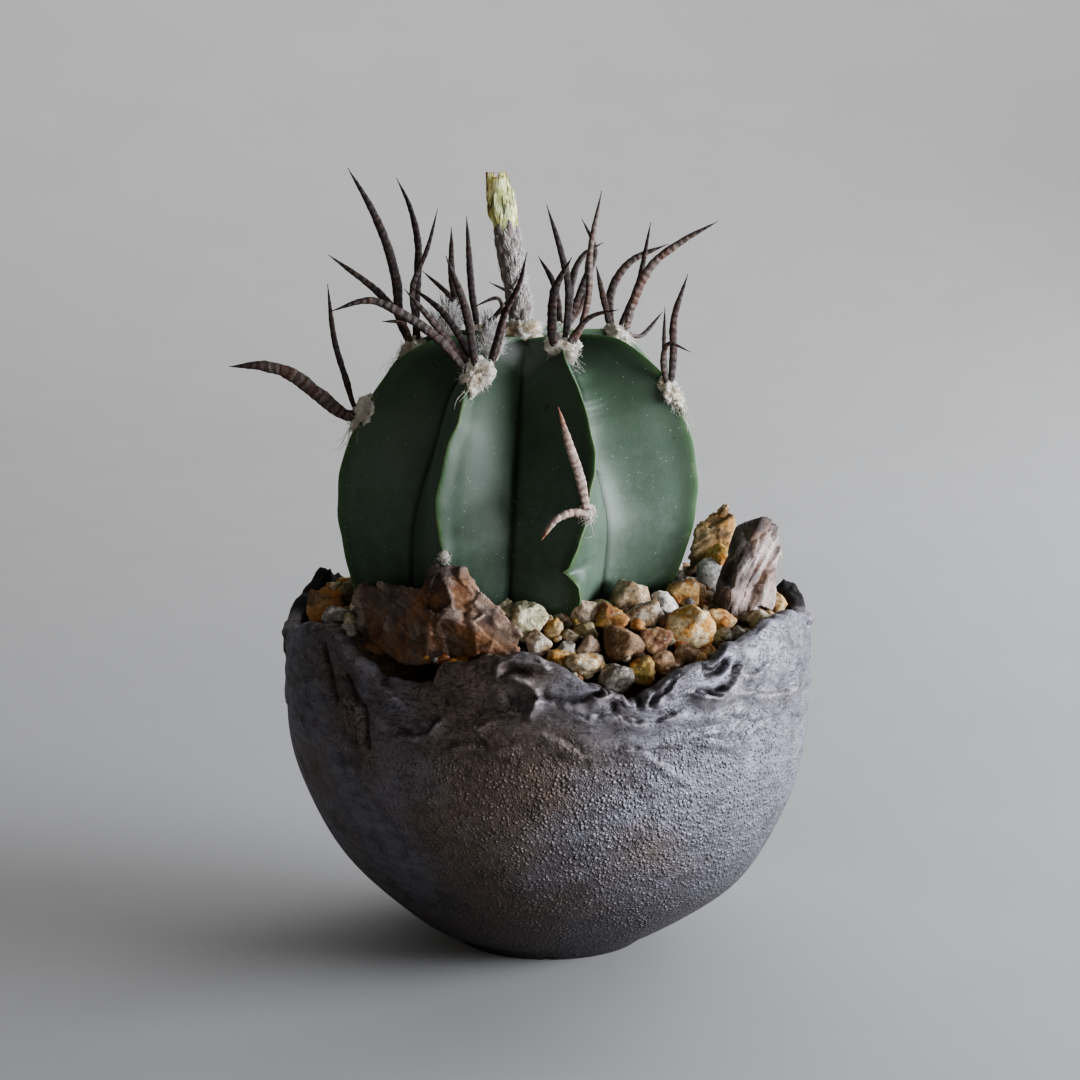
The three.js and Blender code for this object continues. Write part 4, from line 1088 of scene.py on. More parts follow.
# %% The rocks' measures
ROCK_LUMPS = {
    "front": [
        [
            (-35.7, -22, 73.3), (-35.5, -24, 67.1), (-33.5, -28, 62.1), (-25, -35.5, 60.6),
            (-20, -38.5, 62.1), (-22, -37, 71.1), (-27, -30, 74.4), (-23, -33, 74.7), (-33, -17.5, 72.6),
            (-32, -19, 61.1), (-22, -30, 73.1), (-21, -31, 60.1),
        ],
        [
            (-18.8, -35, 80.4), (-21.4, -34.6, 78.5), (-15.8, -35.4, 79.5), (-12.5, -36, 75.7),
            (-22.5, -38.5, 62.1), (-13, -40.5, 63.1), (-24, -32, 61.1), (-13, -32, 61.1), (-16, -39.4, 70.1),
            (-21.5, -38.2, 71.1), (-24, -33, 73.1),
        ],
        [
            (-16, -36, 78.1), (-11.5, -37.4, 74.5), (-8, -38.5, 71.5), (-4.6, -39.6, 67.5),
            (-5.2, -40.6, 64.1), (-13, -41, 64.1), (-14, -40, 69.1), (-12, -33.5, 69.1), (-6, -36, 65.5),
            (-8, -35, 61.6), (-13, -36, 61.1),
        ],
    ],
    "right": [[
        (35.4, -10, 81.4), (39.4, -15, 84.3), (43.2, -12.5, 83.5), (43.9, -11, 77.7), (43.2, -10.5, 70.1),
        (40.8, -12, 66.3), (33, -18.4, 65.1), (30.3, -14, 66.7), (31.8, -12, 70.5), (34.8, -10.5, 76.1),
        (34.6, -16.8, 75.4),
        (37, -7, 81.1), (42.6, -7.5, 82.7), (42.6, -6, 69.1), (33, -8, 67.1), (33, -15, 60.6),
        (40.5, -10, 60.6), (39.5, -6, 60.6), (33, -8, 60.6),
    ]],
    "back_right": [[
        (26.5, 10, 71.4), (29.4, 12, 79.3), (33.7, 12, 82.9), (35.9, 12.5, 80.7), (36.4, 9, 73.1),
        (33, 7, 68.1), (26.5, 8, 66.6), (28, 16, 73.1), (33, 16.5, 79.6), (36, 15.5, 75.1), (36, 12, 61.1),
        (27, 15, 60.6), (27.5, 8, 60.6), (34, 8, 60.6),
    ]],
    "left": [[
        (-45.4, -7, 68.7), (-42, -6, 70.1), (-39, -7, 68.6), (-38.6, -10, 66.1), (-41, -12.5, 64.1),
        (-44.6, -11, 63.6), (-45.8, -9, 66.1), (-43, -8, 59.6), (-39, -7, 59.6), (-42.6, -2.5, 67.1),
        (-40, -3, 61.1),
    ]],
}
BEDDING = {
    "front": Vector((0.35, -0.25, 0.9)).normalized(), "right": Vector((0.86, 0.3, -0.42)).normalized(),
    "back_right": Vector((-0.62, 0.2, 0.75)).normalized(), "left": Vector((0.2, 0.3, 0.93)).normalized(),
}
LAYER_STEP = {"front": 0.35, "right": 0.5, "back_right": 0.6, "left": 0.4}
LEDGES = {"front": 0.3, "right": 1.1, "back_right": 1.1, "left": 0.4}
CHIPS = {"front": 0.85, "right": 0.25, "back_right": 0.35, "left": 0.6}
ROCK_GRAIN, RISE_LIMIT, SINK_LIMIT = 0.32, 0.7, 0.3


# %% Rocks
def chipped(point, size, strength):
    """Flat chips: every cell of a scatter of cells is a plane with its own tilt."""
    centre = noise.voronoi(point / size)[1][0]
    tilt = noise.cell_vector(centre * 53.7) - Vector((0.5, 0.5, 0.5))
    return strength * size * 0.3 * (point / size - centre).dot(tilt)


def rock_mesh(name):
    bedding = BEDDING[name]
    bm = bmesh.new()
    for corners in ROCK_LUMPS[name]:
        verts = [bm.verts.new(corner) for corner in corners]
        hull = bmesh.ops.convex_hull(bm, input=verts)
        bmesh.ops.delete(bm, geom=[g for g in hull["geom_interior"] if isinstance(g, bmesh.types.BMVert)])
    bm = after_modifiers(bm, ("REMESH", {"mode": "VOXEL", "voxel_size": ROCK_GRAIN}))
    for _ in range(2):
        bmesh.ops.smooth_vert(
            bm, verts=bm.verts, factor=0.5, use_axis_x=True, use_axis_y=True, use_axis_z=True
        )
    bm.normal_update()
    chip_wear_light_and_shade_layer = bm.verts.layers.float.new("chip_wear_light_and_shade")
    moves, offset = [], Vector((9, 9, 9))
    heart = sum((vert.co for vert in bm.verts), Vector()) / len(bm.verts)
    for vert in bm.verts:
        point = vert.co
        layer = point.dot(bedding) / 3.1 + 1.6 * noise.noise(point / 8) + 0.3 * noise.noise(point / 2.5)
        split = layer % 1
        some = smoothstep(noise.noise(point / 7 + bedding * 9), -0.25, 0.25)
        step = LAYER_STEP[name] * some * (smoothstep(split, 0, 0.8) - smoothstep(split, 0.88, 0.98) - 0.5)
        plates = point + bedding * (0.7 * point.dot(bedding))
        small_chips = chipped(point + offset, 4.5, 1.1) + chipped(plates, 1.7, 0.8)
        chips = chipped(plates, 10, 0.8) + CHIPS[name] * small_chips
        sheet = point.dot(bedding) / 1.3 + 0.5 * noise.noise(point / 5) + 3 * noise.noise(point / 14)
        ledge = LEDGES[name] * (noise.cell(Vector((math.floor(sheet) * 7.31, 0.5, 0.5))) - 0.6)
        rough = 0.16 * noise.noise(point / 0.8) + 0.25 * CHIPS[name] * noise.noise(point / 2)
        # Raised chips are marked to be lightened, partly wear and partly painted highlight, and sunk ones to
        # get painted shade.
        vert[chip_wear_light_and_shade_layer] = 0.5 + 0.45 * (chips + step)
        move = min(RISE_LIMIT, step + chips + rough + ledge)
        inwards = (point - heart).normalized() * min(0, move + SINK_LIMIT)
        moves.append(vert.normal * max(-SINK_LIMIT, move) + inwards)
    for vert, move in zip(bm.verts, moves):
        vert.co += move
    return bm


# %% [markdown]
# The rocks' colours follow their layers: slate grey and pinkish streaks, rust where iron has washed
# out, and near-black where the stone is fresh. Each rock has its own mixture, and its own spots that
# are rusty, dark or bleached. The dark spots are partly the stone's own and partly painted shade on
# faces turned from the window. The pale spots on the front and right rocks are partly bleached stone
# and partly painted highlight on faces towards it. Raised chips are lighter, partly wear and partly
# painted highlight, and sunk ones carry painted shade.

# %% The rocks' colours
STREAKS = {"front": 0.3, "right": 0.85, "back_right": 0.5, "left": 0.4}
ROCK_COLOURS = {
    "front": ((0.125, 0.100, 0.088), (0.23, 0.100, 0.036), (0.40, 0.31, 0.26)),
    "right": ((0.080, 0.062, 0.058), (0.21, 0.118, 0.075), (0.52, 0.45, 0.43)),
    "back_right": ((0.26, 0.175, 0.085), (0.40, 0.20, 0.05), (0.56, 0.45, 0.28)),
    "left": ((0.25, 0.115, 0.04), (0.42, 0.175, 0.04), (0.46, 0.32, 0.17)),
}
ROCK_RUST = {
    "front": ((-18, -38, 74), (-17, -39, 69), (-13, -41, 65)), "right": ((41, -13, 70),),
    "back_right": ((32.5, 11, 82), (35, 10, 75)), "left": ((-42, -9, 66),),
}
# Dark spots: partly the stone's own colour and partly painted shade on faces turned from the window.
ROCK_DARK_AND_SHADE = {
    "front": ((-18.5, -36, 79.5), (-21, -35, 77)), "right": ((31, -15, 67), (34.5, -12, 80), (33, -13, 73)),
    "back_right": ((27, 9, 70),), "left": ((-40, -5, 62),),
}
# Pale spots: bleached stone, and on the front and right rocks partly painted highlight on faces towards the
# window.
ROCK_PALE_AND_LIT = {
    "front": ((-10.5, -37, 73.5), (-7, -38.5, 69)), "right": ((42, -13, 78), (37, -16, 70)),
    "back_right": ((30, 9, 77),), "left": ((-45, -8, 68),),
}


# %% Rock finishes and pieces
def rock_finish(name):
    base, rust, pale = ROCK_COLOURS[name]
    slate = Finish("rock_" + name, IOR=1.5)
    across = BEDDING[name].to_track_quat("Z", "Y").inverted().to_euler()
    layered = slate.noise(1, 6, 0.68, slate.stretched((0.13, 0.13, 0.9), tuple(across)), 0.6)
    fine = slate.noise(1.6, 6, 0.7)
    broad = slate.noise(0.12, 3)
    rusty = slate.near(ROCK_RUST[name], 5, 11, fine * 6)
    # Pale spots, on the front and right rocks partly painted highlight.
    bleached_and_lit = slate.near(ROCK_PALE_AND_LIT[name], 4, 9, fine * 6)
    # Dark spots, partly painted shade on faces turned from the window.
    sooty = slate.near(ROCK_DARK_AND_SHADE[name], 3.5, 6, fine * 4)
    fresh = slate.noise(0.2, 3, 0.5).step(0.50, 0.60)
    chip_wear_light_and_shade = slate.mark("chip_wear_light_and_shade") + fine * 0.3
    gritty = slate.noise(3.4, 4, 0.7)
    colour = slate.coats(
        base,
        (((broad * 0.6 + fine * 0.5).step(0.48, 0.64) + rusty).clamp(), rust),
        ((layered.step(0.52, 0.64) * STREAKS[name] + bleached_and_lit * 0.5).clamp(), pale),
        (fresh * 0.6, (0.026, 0.020, 0.020)),
        # Raised chips: partly wear and partly painted highlight.
        (chip_wear_light_and_shade.step(0.72, 1.05) * 0.6, pale),
        (sooty * 0.75, (0.040, 0.028, 0.025)),
        # Sunk chips: painted shade.
        ((1 - chip_wear_light_and_shade.step(0.35, 0.6)) * 0.4, (0.030, 0.022, 0.020)),
        (fine.step(0.64, 0.74) * 0.5, pale),
        ((1 - gritty.step(0.38, 0.5)) * 0.45, (0.035, 0.026, 0.022)),
    )
    relief = layered * 0.8 + fine * 0.7 + gritty * 0.45
    rough = 0.55 + fine * 0.35
    return slate.finish(Base_Color=colour, Roughness=rough, Normal=slate.bump(relief, 0.5, 0.9))


for name in ROCK_LUMPS:
    piece(rock_mesh(name), "slate_" + name, rock_finish(name), "rock_" + name)

# %% [markdown]
# ## Spines
#
# Every areole carries a few flat, curled spines, papery and ringed like a goat's horn. Each is a bar
# bent along the points it passes through. Its width holds for most of its length and then runs out,
# its flat side has a shallow groove, and fine rings ripple its edge.
#
# An areole has a place, a size and its spines. A spine has a width, a lightness and its points.

# %% Where the areoles and spines are
AREOLES = {
    "left": ((-34.6, -11, 103.1), (7.5, 5, 4), [
        (3.6, 0.35, (-37.5, -12, 103.1), (-42.5, -13.5, 107.1), (-47.5, -15, 111.1), (-52.5, -16, 112.7),
            (-58.5, -17, 112.7)),
        (1.6, 0.1, (-36, -11.5, 104.6), (-37.5, -12, 109.6), (-39.5, -13, 117.1), (-40.5, -15, 127.6)),
    ]),
    "front_left": ((-13.2, -23, 111.4), (9, 6.6, 4.6), [
        (2.4, 0.15, (-15, -23, 112.7), (-20, -25, 118.6), (-26, -27, 123.1), (-32, -29, 125.9),
            (-39, -31, 124.1)),
        (2, 0.2, (-14.6, -22, 113.3), (-21, -24, 121.6), (-26, -25, 127.6)),
        (1.9, 0.05, (-13.6, -20.5, 113.5), (-19, -20.5, 122.6), (-25, -20, 127.6)),
        (2.2, 0.1, (-13.4, -23, 113.6), (-15, -24, 123.6), (-18.5, -26, 133.6)),
        (1.9, 0.15, (-11.6, -21.5, 112.1), (-9.5, -22, 118.1), (-8, -22.5, 123.1), (-5.5, -23, 128.1),
            (-4, -23, 134.1)),
        (1.5, 0.45, (-10.4, -19.8, 113.9), (-8.4, -19.4, 121.1), (-9.2, -19, 125.3), (-14, -19, 123.7)),
    ]),
    "front_right": ((2.6, -16, 115.9), (7.5, 7, 4), [
        (2.4, 0.1, (1, -17.5, 116.6), (0.5, -20, 122.6), (1, -21.5, 127.1), (4, -23, 133.1)),
        (2, 0.15, (3, -14.5, 117.3), (4.5, -11, 129.1), (6.5, -9, 132.6), (10, -7, 134.6)),
        (1.9, 0.1, (2.8, -16.4, 117.3), (3.5, -16.8, 126.6), (2, -17, 134.1), (-0.5, -17, 142.1)),
        (2, 0.4, (4.5, -16.5, 117.1), (7, -16.5, 124.6), (7.5, -16, 134.1), (9.5, -15, 144.6)),
        (1.6, 0.3, (4.2, -17.5, 118.1), (7.5, -20, 122.1), (12.5, -22, 123.6)),
    ]),
    "right": ((22.6, -9, 106.3), (8.5, 5.6, 4), [
        (2, 0.2, (22.6, -9.5, 108.1), (23, -10, 114.1), (23, -10.5, 120.6), (25.5, -11, 129.1)),
        (1.2, 0.1, (22, -8, 108.5), (21.4, -7.5, 114.6), (21.5, -7, 122.6)),
        (1.5, 0.3, (21.6, -10.5, 109.6), (21, -12.5, 114.1), (22, -14, 116.6), (26, -15, 115.1)),
    ]),
    "back_right": ((13.2, 9, 115.1), (7.5, 7, 4), [
        (2.4, 0.5, (14.6, 9, 116.5), (16, 8.5, 121.6), (19.5, 8, 129.1), (25, 7.5, 133.6), (32, 7, 137.6)),
        (2.2, 0.25, (12.2, 10.6, 116.6), (12, 14, 123.6), (15.5, 15.5, 129.1), (23, 17, 132.6)),
        (1.5, 0.1, (13.6, 10, 117.1), (17, 11, 125.1), (19.5, 12, 137.1)),
        (1.5, 0.2, (14.4, 11.4, 116.1), (18, 19, 114.6), (22.5, 26, 118.6)),
        (1.8, 0.2, (12, 9, 117.1), (10.5, 9, 122.6), (9, 9, 129.1)),
    ]),
    "far_right": ((2.8, 20.4, 114.5), (6.5, 6, 3.6), [
        (2, 0.15, (3.6, 20.4, 116.5), (7, 20.5, 125.1), (9, 21, 131.1), (6.5, 21.5, 137.1)),
        (1.8, 0.1, (2.4, 21.4, 116.3), (1, 26, 124.1), (-2, 31, 129.1)),
        (1.5, 0.3, (3.8, 21.6, 116.1), (7, 28, 121.1), (7.5, 33, 129.1)),
    ]),
    "far_left": ((-14.2, 20.6, 113.9), (6.5, 6, 3.6), [
        (2, 0.15, (-15.4, 20.6, 115.9), (-18.5, 21, 123.1), (-19, 22, 135.6)),
        (1.9, 0.1, (-14, 20.6, 116.1), (-15, 21, 123.1), (-16, 22, 137.6)),
        (1.4, 0.3, (-13, 19.8, 115.9), (-10, 17, 119.1), (-7.5, 15, 122.9), (-11.5, 14, 125.5)),
        (1.7, 0.2, (-15, 21.8, 115.5), (-19, 27, 121.1), (-25, 32, 126.1)),
    ]),
    "back_left": ((-26, 9, 112.9), (6.5, 5.6, 3.8), [
        (2.5, 0.1, (-26.8, 9, 114.5), (-28.6, 9, 119.1), (-29, 8.5, 125.6), (-31, 8, 133.6),
            (-34, 7.5, 140.6), (-38, 7, 147.6)),
        (2.1, 0.05, (-25.6, 9.5, 114.9), (-25.4, 10, 122.6), (-25, 10.5, 133.1), (-26.5, 10.5, 140.1),
            (-29, 10.5, 145.6)),
        (1.5, 0.2, (-25, 8, 114.9), (-26, 7, 124.6), (-23, 6, 132.6), (-21, 5, 140.1)),
        (2, 0.15, (-27, 10, 114.6), (-28.6, 10.5, 119.1), (-33, 10.5, 124.1), (-42, 9, 131.1)),
        (1.4, 0.3, (-26.4, 7.4, 114.9), (-28, 4, 118.6), (-31.5, 2, 119.1)),
    ]),
    "low": ((6.7, -32.7, 88.1), (3.4, 2.8, 2.6), [
        (2.4, 1.1, (6.6, -33.6, 88.9), (5.5, -35, 94.6), (3.5, -37.5, 101.1), (1.5, -39, 108.1)),
        (2.9, 1.15, (6.6, -33.8, 88.1), (4, -35, 88.6), (1, -37, 87.6), (-1.5, -38, 84.1)),
    ]),
}
BARE_AREOLES = {
    "old": ((-18.9, -32.2, 80.1), (2.2, 1.5, 1.5)), "shoulder": ((-29, 11.3, 109.1), (2.8, 2.6, 2.2)),
}

# %% Spines
SPINE_SIDES, SPINE_STEPS, SPINE_FLATNESS, SPINE_SLIMNESS, RING_PACE = 14, 66, 0.78, 0.76, 4.4
spine_bar = bar(SPINE_SIDES, SPINE_STEPS)


def thorns(at, spines, draw):
    bm, groups, (layer,) = copies(spine_bar, len(spines), "spine")
    for (width, light, *points), verts in zip(spines, groups):
        path = Path([at, *points])
        length = path.lengths[-1]
        start, offset = 100 * draw(), Vector((100 * draw(), 0, 0))

        def width_at(along):
            turns = (along * length + start) * RING_PACE + 3 * noise.noise(offset * along)
            ridge = 1 + 0.04 * math.sin(turns)
            uneven = 1 + 0.14 * noise.noise(offset + Vector((along * length / 2.4, 0, 0)))
            root = 0.74 + 0.26 * smoothstep(along, 0.04, 0.3)
            return max(0.16, width * SPINE_SLIMNESS * root * (1 - along ** 4.5)) * ridge * uneven

        def ripple(along, angle):
            groove = 0.3 * bell(abs(angle) - math.pi / 2, 0.5)
            frayed = 0.10 * noise.noise(Vector((angle * 2, along * length / 1.2, start)))
            return 1 - groove * (1 - along) + frayed

        mark = [(layer, lambda along: (along * length, light, start, along))]
        bend(verts, path, width_at, SPINE_FLATNESS, SPINE_STEPS, ripple, mark)
    return bm


# %% [markdown]
# Every point of a spine stores its distance from the root in millimetres, the spine's lightness, its
# own start and the share of the length. They place the rings, the broad bands and the dark or
# reddish tip, so the colour follows each spine's curl.

# %% The spines' finish and pieces
horn = Finish("spine", IOR=1.45, Specular_IOR_Level=0.3)
spine_mark = horn.mark("spine", "Color")
far = horn.part(spine_mark, "X")
light = horn.part(spine_mark, "Y")
start = horn.part(spine_mark, "Z")
along = horn.mark("spine", "Alpha")
line = horn.node("CombineXYZ", inputs={"X": far, "Y": start})
fibre = horn.noise(2.2, 4, 0.65)
warp = horn.noise(0.5, 2)
rings = horn.node("Math", {"operation": "SINE"}, {0: (far + start) * RING_PACE + warp * 7})
band = rings.step(-0.4, 0.7)
broad_band = horn.noise(0.30, 2, 0.5, line).step(0.44, 0.58)
dark = horn.mix(fibre.step(0.3, 0.7), (0.004, 0.003, 0.0035), (0.014, 0.009, 0.010))
banded_dark = horn.mix(band * fibre.step(0.4, 0.65) * broad_band * 0.8, dark, (0.105, 0.062, 0.045))
pale = horn.mix(fibre.step(0.3, 0.7), (0.36, 0.25, 0.19), (0.66, 0.56, 0.50))
banded_pale = horn.mix((band * 0.35 + broad_band * 0.55) * (1.95 - light), pale, (0.11, 0.055, 0.040))
tip_colour = horn.mix(light.step(0.7, 1.0), (0.012, 0.008, 0.007), (0.24, 0.10, 0.05))
colour = horn.coats(
    banded_dark,
    ((light * (0.45 + broad_band * 0.85)).clamp(), banded_pale),
    (along.step(0.72, 0.95) * 0.8, tip_colour),
    (horn.noise(0.9, 5, 0.7).step(0.6, 0.8) * 0.2, (0.10, 0.08, 0.08)),
)
relief = rings * 0.35 + fibre * 0.7
rough = 0.5 + fibre * 0.25
horn_finish = horn.finish(Base_Color=colour, Roughness=rough, Normal=horn.bump(relief, 0.2, 0.9))
draw = draws_from(PEBBLE_SEED + 20)
for name, (at, _, spines) in AREOLES.items():
    piece(thorns(at, spines, draw), "thorns_" + name, horn_finish, "spines_" + name)

# %% [markdown]
# ## Wool
#
# A pad of felted cream wool covers every areole, longest down the rib. Its core is a lumpy ball,
# and a few hundred thin curled hairs stand and lie on it. Hairs are three-sided bars, so each costs
# little. Each stores how light and how golden it is.

# %% Hairs and pads
HAIR_STEPS, PAD_COLUMNS, PAD_ROWS = 5, 56, 28
hair_bar = bar(3, HAIR_STEPS)


def pad_frame(at):
    """Down the rib, across it, and out of the skin at an areole."""
    away = Vector((at[0] - BODY_AXIS, at[1], 0))
    outwards = away.normalized()
    slope = math.atan2(at[2] - BOWL_MIDDLE - 40, away.length)
    up = outwards * math.cos(slope) + Vector((0, 0, math.sin(slope)))
    across = Vector((-outwards.y, outwards.x, 0))
    return across.cross(up), across, up


def hair(verts, root, ahead, length, width, curl, draw, marks):
    """One hair from a root: it sets off ahead and wanders by its curl."""
    def wander():
        return Vector((draw() - 0.5, draw() - 0.5, draw() - 0.5)) * curl * length

    ahead = ahead.normalized() * length
    points = [
        root, root + ahead * 0.33 + wander() * 0.5, root + ahead * 0.66 + wander(),
        root + ahead * 0.9 + wander() * 1.5,
    ]
    bend(verts, Path(points, steps=4), lambda along: width * (1 - 0.75 * along), 1, HAIR_STEPS, marks=marks)


def fleece(at, size, hairs, draw, gold=0.3, strands=0, reach=(0.6, 1.5)):
    """A felted pad with short hairs all over, and a few long strands that hang down the rib."""
    down, across, up = pad_frame(at)
    centre = Vector(at)
    offset = Vector((draw(), draw(), draw())) * 40

    def on_pad(turn, lift):
        flat = round_point(turn, math.cos(lift), math.sin(lift))
        lump = 1 + 0.34 * noise.noise(flat * 1.9 + offset) + 0.22 * noise.noise(flat * 5 + offset)
        point = down * flat.x * size[0] + across * flat.y * size[1] + up * flat.z * size[2]
        wedge = 1 - 0.6 * smoothstep(flat.x, -0.1, 0.9) * abs(flat.y)
        return point * (lump * wedge / 2)

    def on_core(turn, row):
        return centre + on_pad(turn, math.pi * (row / PAD_ROWS - 0.5)) * 0.96

    core = moved_ball(PAD_COLUMNS, PAD_ROWS, on_core)
    bm, groups, (layer,) = copies(hair_bar, hairs + strands, "fibre", start=core)
    for vert in bm.verts:
        vert[layer] = (0.75 + 0.3 * noise.noise(vert.co / 0.9 + offset), 0, gold * 0.5, 1)
    for i, verts in enumerate(groups):
        is_strand = i >= hairs
        turn, lift = draw(), math.asin(min(1, 1.25 * draw() - 0.25))
        if is_strand:
            turn = 0.18 * (draw() - 0.5)
        out = on_pad(turn, lift)
        tangent = Vector((draw() - 0.5, draw() - 0.5, draw() - 0.5)).cross(out)
        ahead = out.normalized() * 0.35 * draw() ** 6 + tangent.normalized() * 0.8 + down * 0.5
        tone, golden = 0.3 + 0.7 * draw(), gold * draw()
        marks = [(layer, lambda along: (tone, 0, golden, 1))]
        length, width, curl = lerp(*reach, draw() ** 1.5), 0.12 + 0.1 * draw(), 0.6
        if is_strand:
            ahead, length, width, curl = down + out.normalized() * 0.25, lerp(3.5, 7, draw()), 0.16, 0.35
        hair(verts, centre + out * 0.95, ahead, length, width, curl, draw, marks)
    return bm


# %% The wool's finish and pieces
wool = Finish(
    "felted_wool", Roughness=0.95, Sheen_Weight=0.8, Sheen_Roughness=0.5,
    Subsurface_Weight=0.5, Subsurface_Scale=0.002, Subsurface_Radius=(1.0, 0.85, 0.7),
)
wool_mark = wool.mark("fibre", "Color")
tone = wool.part(wool_mark, "X")
golden = wool.part(wool_mark, "Z")
felt = wool.noise(1.7, 6, 0.75)
cream = wool.mix(tone.step(0.0, 0.8), (0.86, 0.71, 0.48), (0.98, 0.91, 0.76))
gold_patch = wool.noise(0.5, 3).step(0.44, 0.56)
gilded = wool.mix((golden * 1.8 * gold_patch).clamp(), cream, (0.58, 0.37, 0.14))
shaded = wool.mix(0.6, gilded, (0.62, 0.45, 0.28))
wool_colour = wool.mix(felt.step(0.25, 0.5), shaded, gilded)
wool_finish = wool.finish(Base_Color=wool_colour, Normal=wool.bump(felt, 0.8))

CROWN_WOOL = ((-5, 2.2, 117.3), (8.6, 8.6, 4.6))
GOLD = {"right": 0.6, "back_right": 0.45, "front_right": 0.5, "low": 0.2, "left": 0.45, "back_left": 0.8}
STRANDS = {"left": 7, "front_left": 5, "front_right": 8, "right": 9, "low": 2}
HAIRS, LOW_HAIRS, BARE_HAIRS = 430, 200, 110
draw = draws_from(PEBBLE_SEED + 30)
pads = {}
for name, (at, size, _) in AREOLES.items():
    hairs = LOW_HAIRS if name == "low" else HAIRS
    pads[name] = fleece(at, size, hairs, draw, GOLD.get(name, 0.6), STRANDS.get(name, 3))
for name, (at, size) in BARE_AREOLES.items():
    pads[name] = fleece(at, size, BARE_HAIRS, draw, 0.3, reach=(0.6, 1.6))
pads["crown"] = fleece(*CROWN_WOOL, HAIRS, draw, 1.0)
for name, pad in pads.items():
    piece(pad, "fleece_" + name, wool_finish, "wool_" + name)

# %% [markdown]
# ## The dried flower and the buds
#
# The flower's tube is covered with small pointed scales, each with grey wool and dark bristles in
# its axil. Its petals have shrivelled to a twisted yellow-green brush. The two buds are eggs hidden
# under bristles and white wool.

# %% The flower's tube
TUBE_PATH = [(-4.6, 2, 114.1), (-5.2, 2.6, 118.8), (-6.1, 3, 125.1), (-7.3, 3, 131.4), (-8.1, 3, 136.5)]
TUBE_WIDTHS, TUBE_SCALES, SPIRAL = (4.3, 5.0), 66, 0.382
WOOL_HAIRS, BRISTLES, FUZZ_FROM, FUZZ_TO = 640, 60, 0.1, 0.96
tube_path = Path(TUBE_PATH)


def around_path(path, share, turn, radius):
    """A point beside a path, with the way out from the path and the path's own direction."""
    centre, ahead = path.at(share)
    side = ahead.cross(Vector((0, 1, 0))).normalized()
    out = side * math.cos(math.tau * turn) + side.cross(ahead) * math.sin(math.tau * turn)
    return centre + out * radius, out, ahead


def flower_tube(draw):
    stem_bar = bar(32, 60)
    scale_bar = bar(8, 8)
    bm, (stem,), (layer,) = copies(stem_bar, 1, "fibre")
    stem_marks = [(layer, lambda along: (0.3, 0, 0, 1))]
    bend(stem, tube_path, lambda along: 0.64 * lerp(*TUBE_WIDTHS, along), 1, 60, marks=stem_marks)
    bm, scales, (layer,) = copies(scale_bar, TUBE_SCALES, "fibre", start=bm)
    for i, verts in enumerate(scales):
        share, turn = 0.12 + 0.86 * i / TUBE_SCALES, i * SPIRAL
        root, out, ahead = around_path(tube_path, share, turn, 0.28 * lerp(*TUBE_WIDTHS, share))
        length = 2.4 + 1.4 * draw()
        tip = root + ahead * length + out * (0.2 + 0.7 * draw())
        path = Path([root, root + ahead * length * 0.4 + out * 0.5, tip], steps=6)
        tone = 0.2 * draw()
        marks = [(layer, lambda along: (tone, along, 0, 0.2))]
        bend(verts, path, lambda along: 1.9 * (1 - along ** 1.6) + 0.1, 0.4, 8, marks=marks)
    return bm


def fuzz(bm, draw):
    """Wool all over the tube, most of it at the front right, and bristles."""
    bm, hairs, (layer,) = copies(hair_bar, WOOL_HAIRS + BRISTLES, "fibre", start=bm)
    for i, verts in enumerate(hairs):
        is_bristle = i >= WOOL_HAIRS
        share, turn = lerp(FUZZ_FROM, FUZZ_TO, draw()), draw()
        if i % 5 and not is_bristle:
            turn = 0.6 + 0.4 * (turn - 0.5)
        root, out, ahead = around_path(tube_path, share, turn, 0.33 * lerp(*TUBE_WIDTHS, share))
        ahead = ahead * (1 + draw()) + out * (0.2 + 0.5 * draw()) * (1.3 if is_bristle else 1)
        length = (1.8 if is_bristle else 1.2) + 1.8 * draw()
        width = 0.26 if is_bristle else 0.13 + 0.06 * draw()
        tone = 0 if is_bristle else 0.4 + 0.6 * draw()
        marks = [(layer, lambda along: (tone, along, 0, not is_bristle))]
        hair(verts, root, ahead, length, width, 0.12 if is_bristle else 0.45, draw, marks)
    return bm


# %% [markdown]
# Tube and buds share a finish. A point stores how light it is, how near a tip it is, and whether it
# is wool, a scale or a bristle. On a bud's core that last share is whiter on the side towards the
# window, partly the wool there and partly painted light.

# %% The tube's finish and piece
fluff = Finish("grey_wool", Roughness=0.85, Sheen_Weight=0.3)
fluff_mark = fluff.mark("fibre", "Color")
tone = fluff.part(fluff_mark, "X")
tip = fluff.part(fluff_mark, "Y")
wool_share_and_lit_side = fluff.mark("fibre", "Alpha")
felt = fluff.noise(1.5, 5, 0.7)
scale_colour = fluff.mix(tip.step(0.3, 0.95), (0.125, 0.080, 0.062), (0.030, 0.016, 0.014))
wool_tone = fluff.mix(tone, (0.62, 0.60, 0.58), (0.97, 0.96, 0.94))
both = fluff.mix(wool_share_and_lit_side, scale_colour, wool_tone)
bristled = fluff.mix(1 - (wool_share_and_lit_side * 5).clamp(), both, (0.045, 0.03, 0.026))
shaded = fluff.mix(felt.step(0.25, 0.6), fluff.mix(0.5, bristled, (0.07, 0.05, 0.04)), bristled)
fluff_finish = fluff.finish(Base_Color=shaded, Normal=fluff.bump(felt, 0.4))

draw = draws_from(PEBBLE_SEED + 40)
piece(fuzz(flower_tube(draw), draw), "dried_tube", fluff_finish, "flower_tube")

# %% [markdown]
# Each petal is a flat bar, narrow at its foot, twisted and crumpled by noise, and torn at its tip.

# %% Petals
PETAL_FOOT, PETALS, PETAL_LENGTHS = 135.7, 17, (8.6, 11.6)


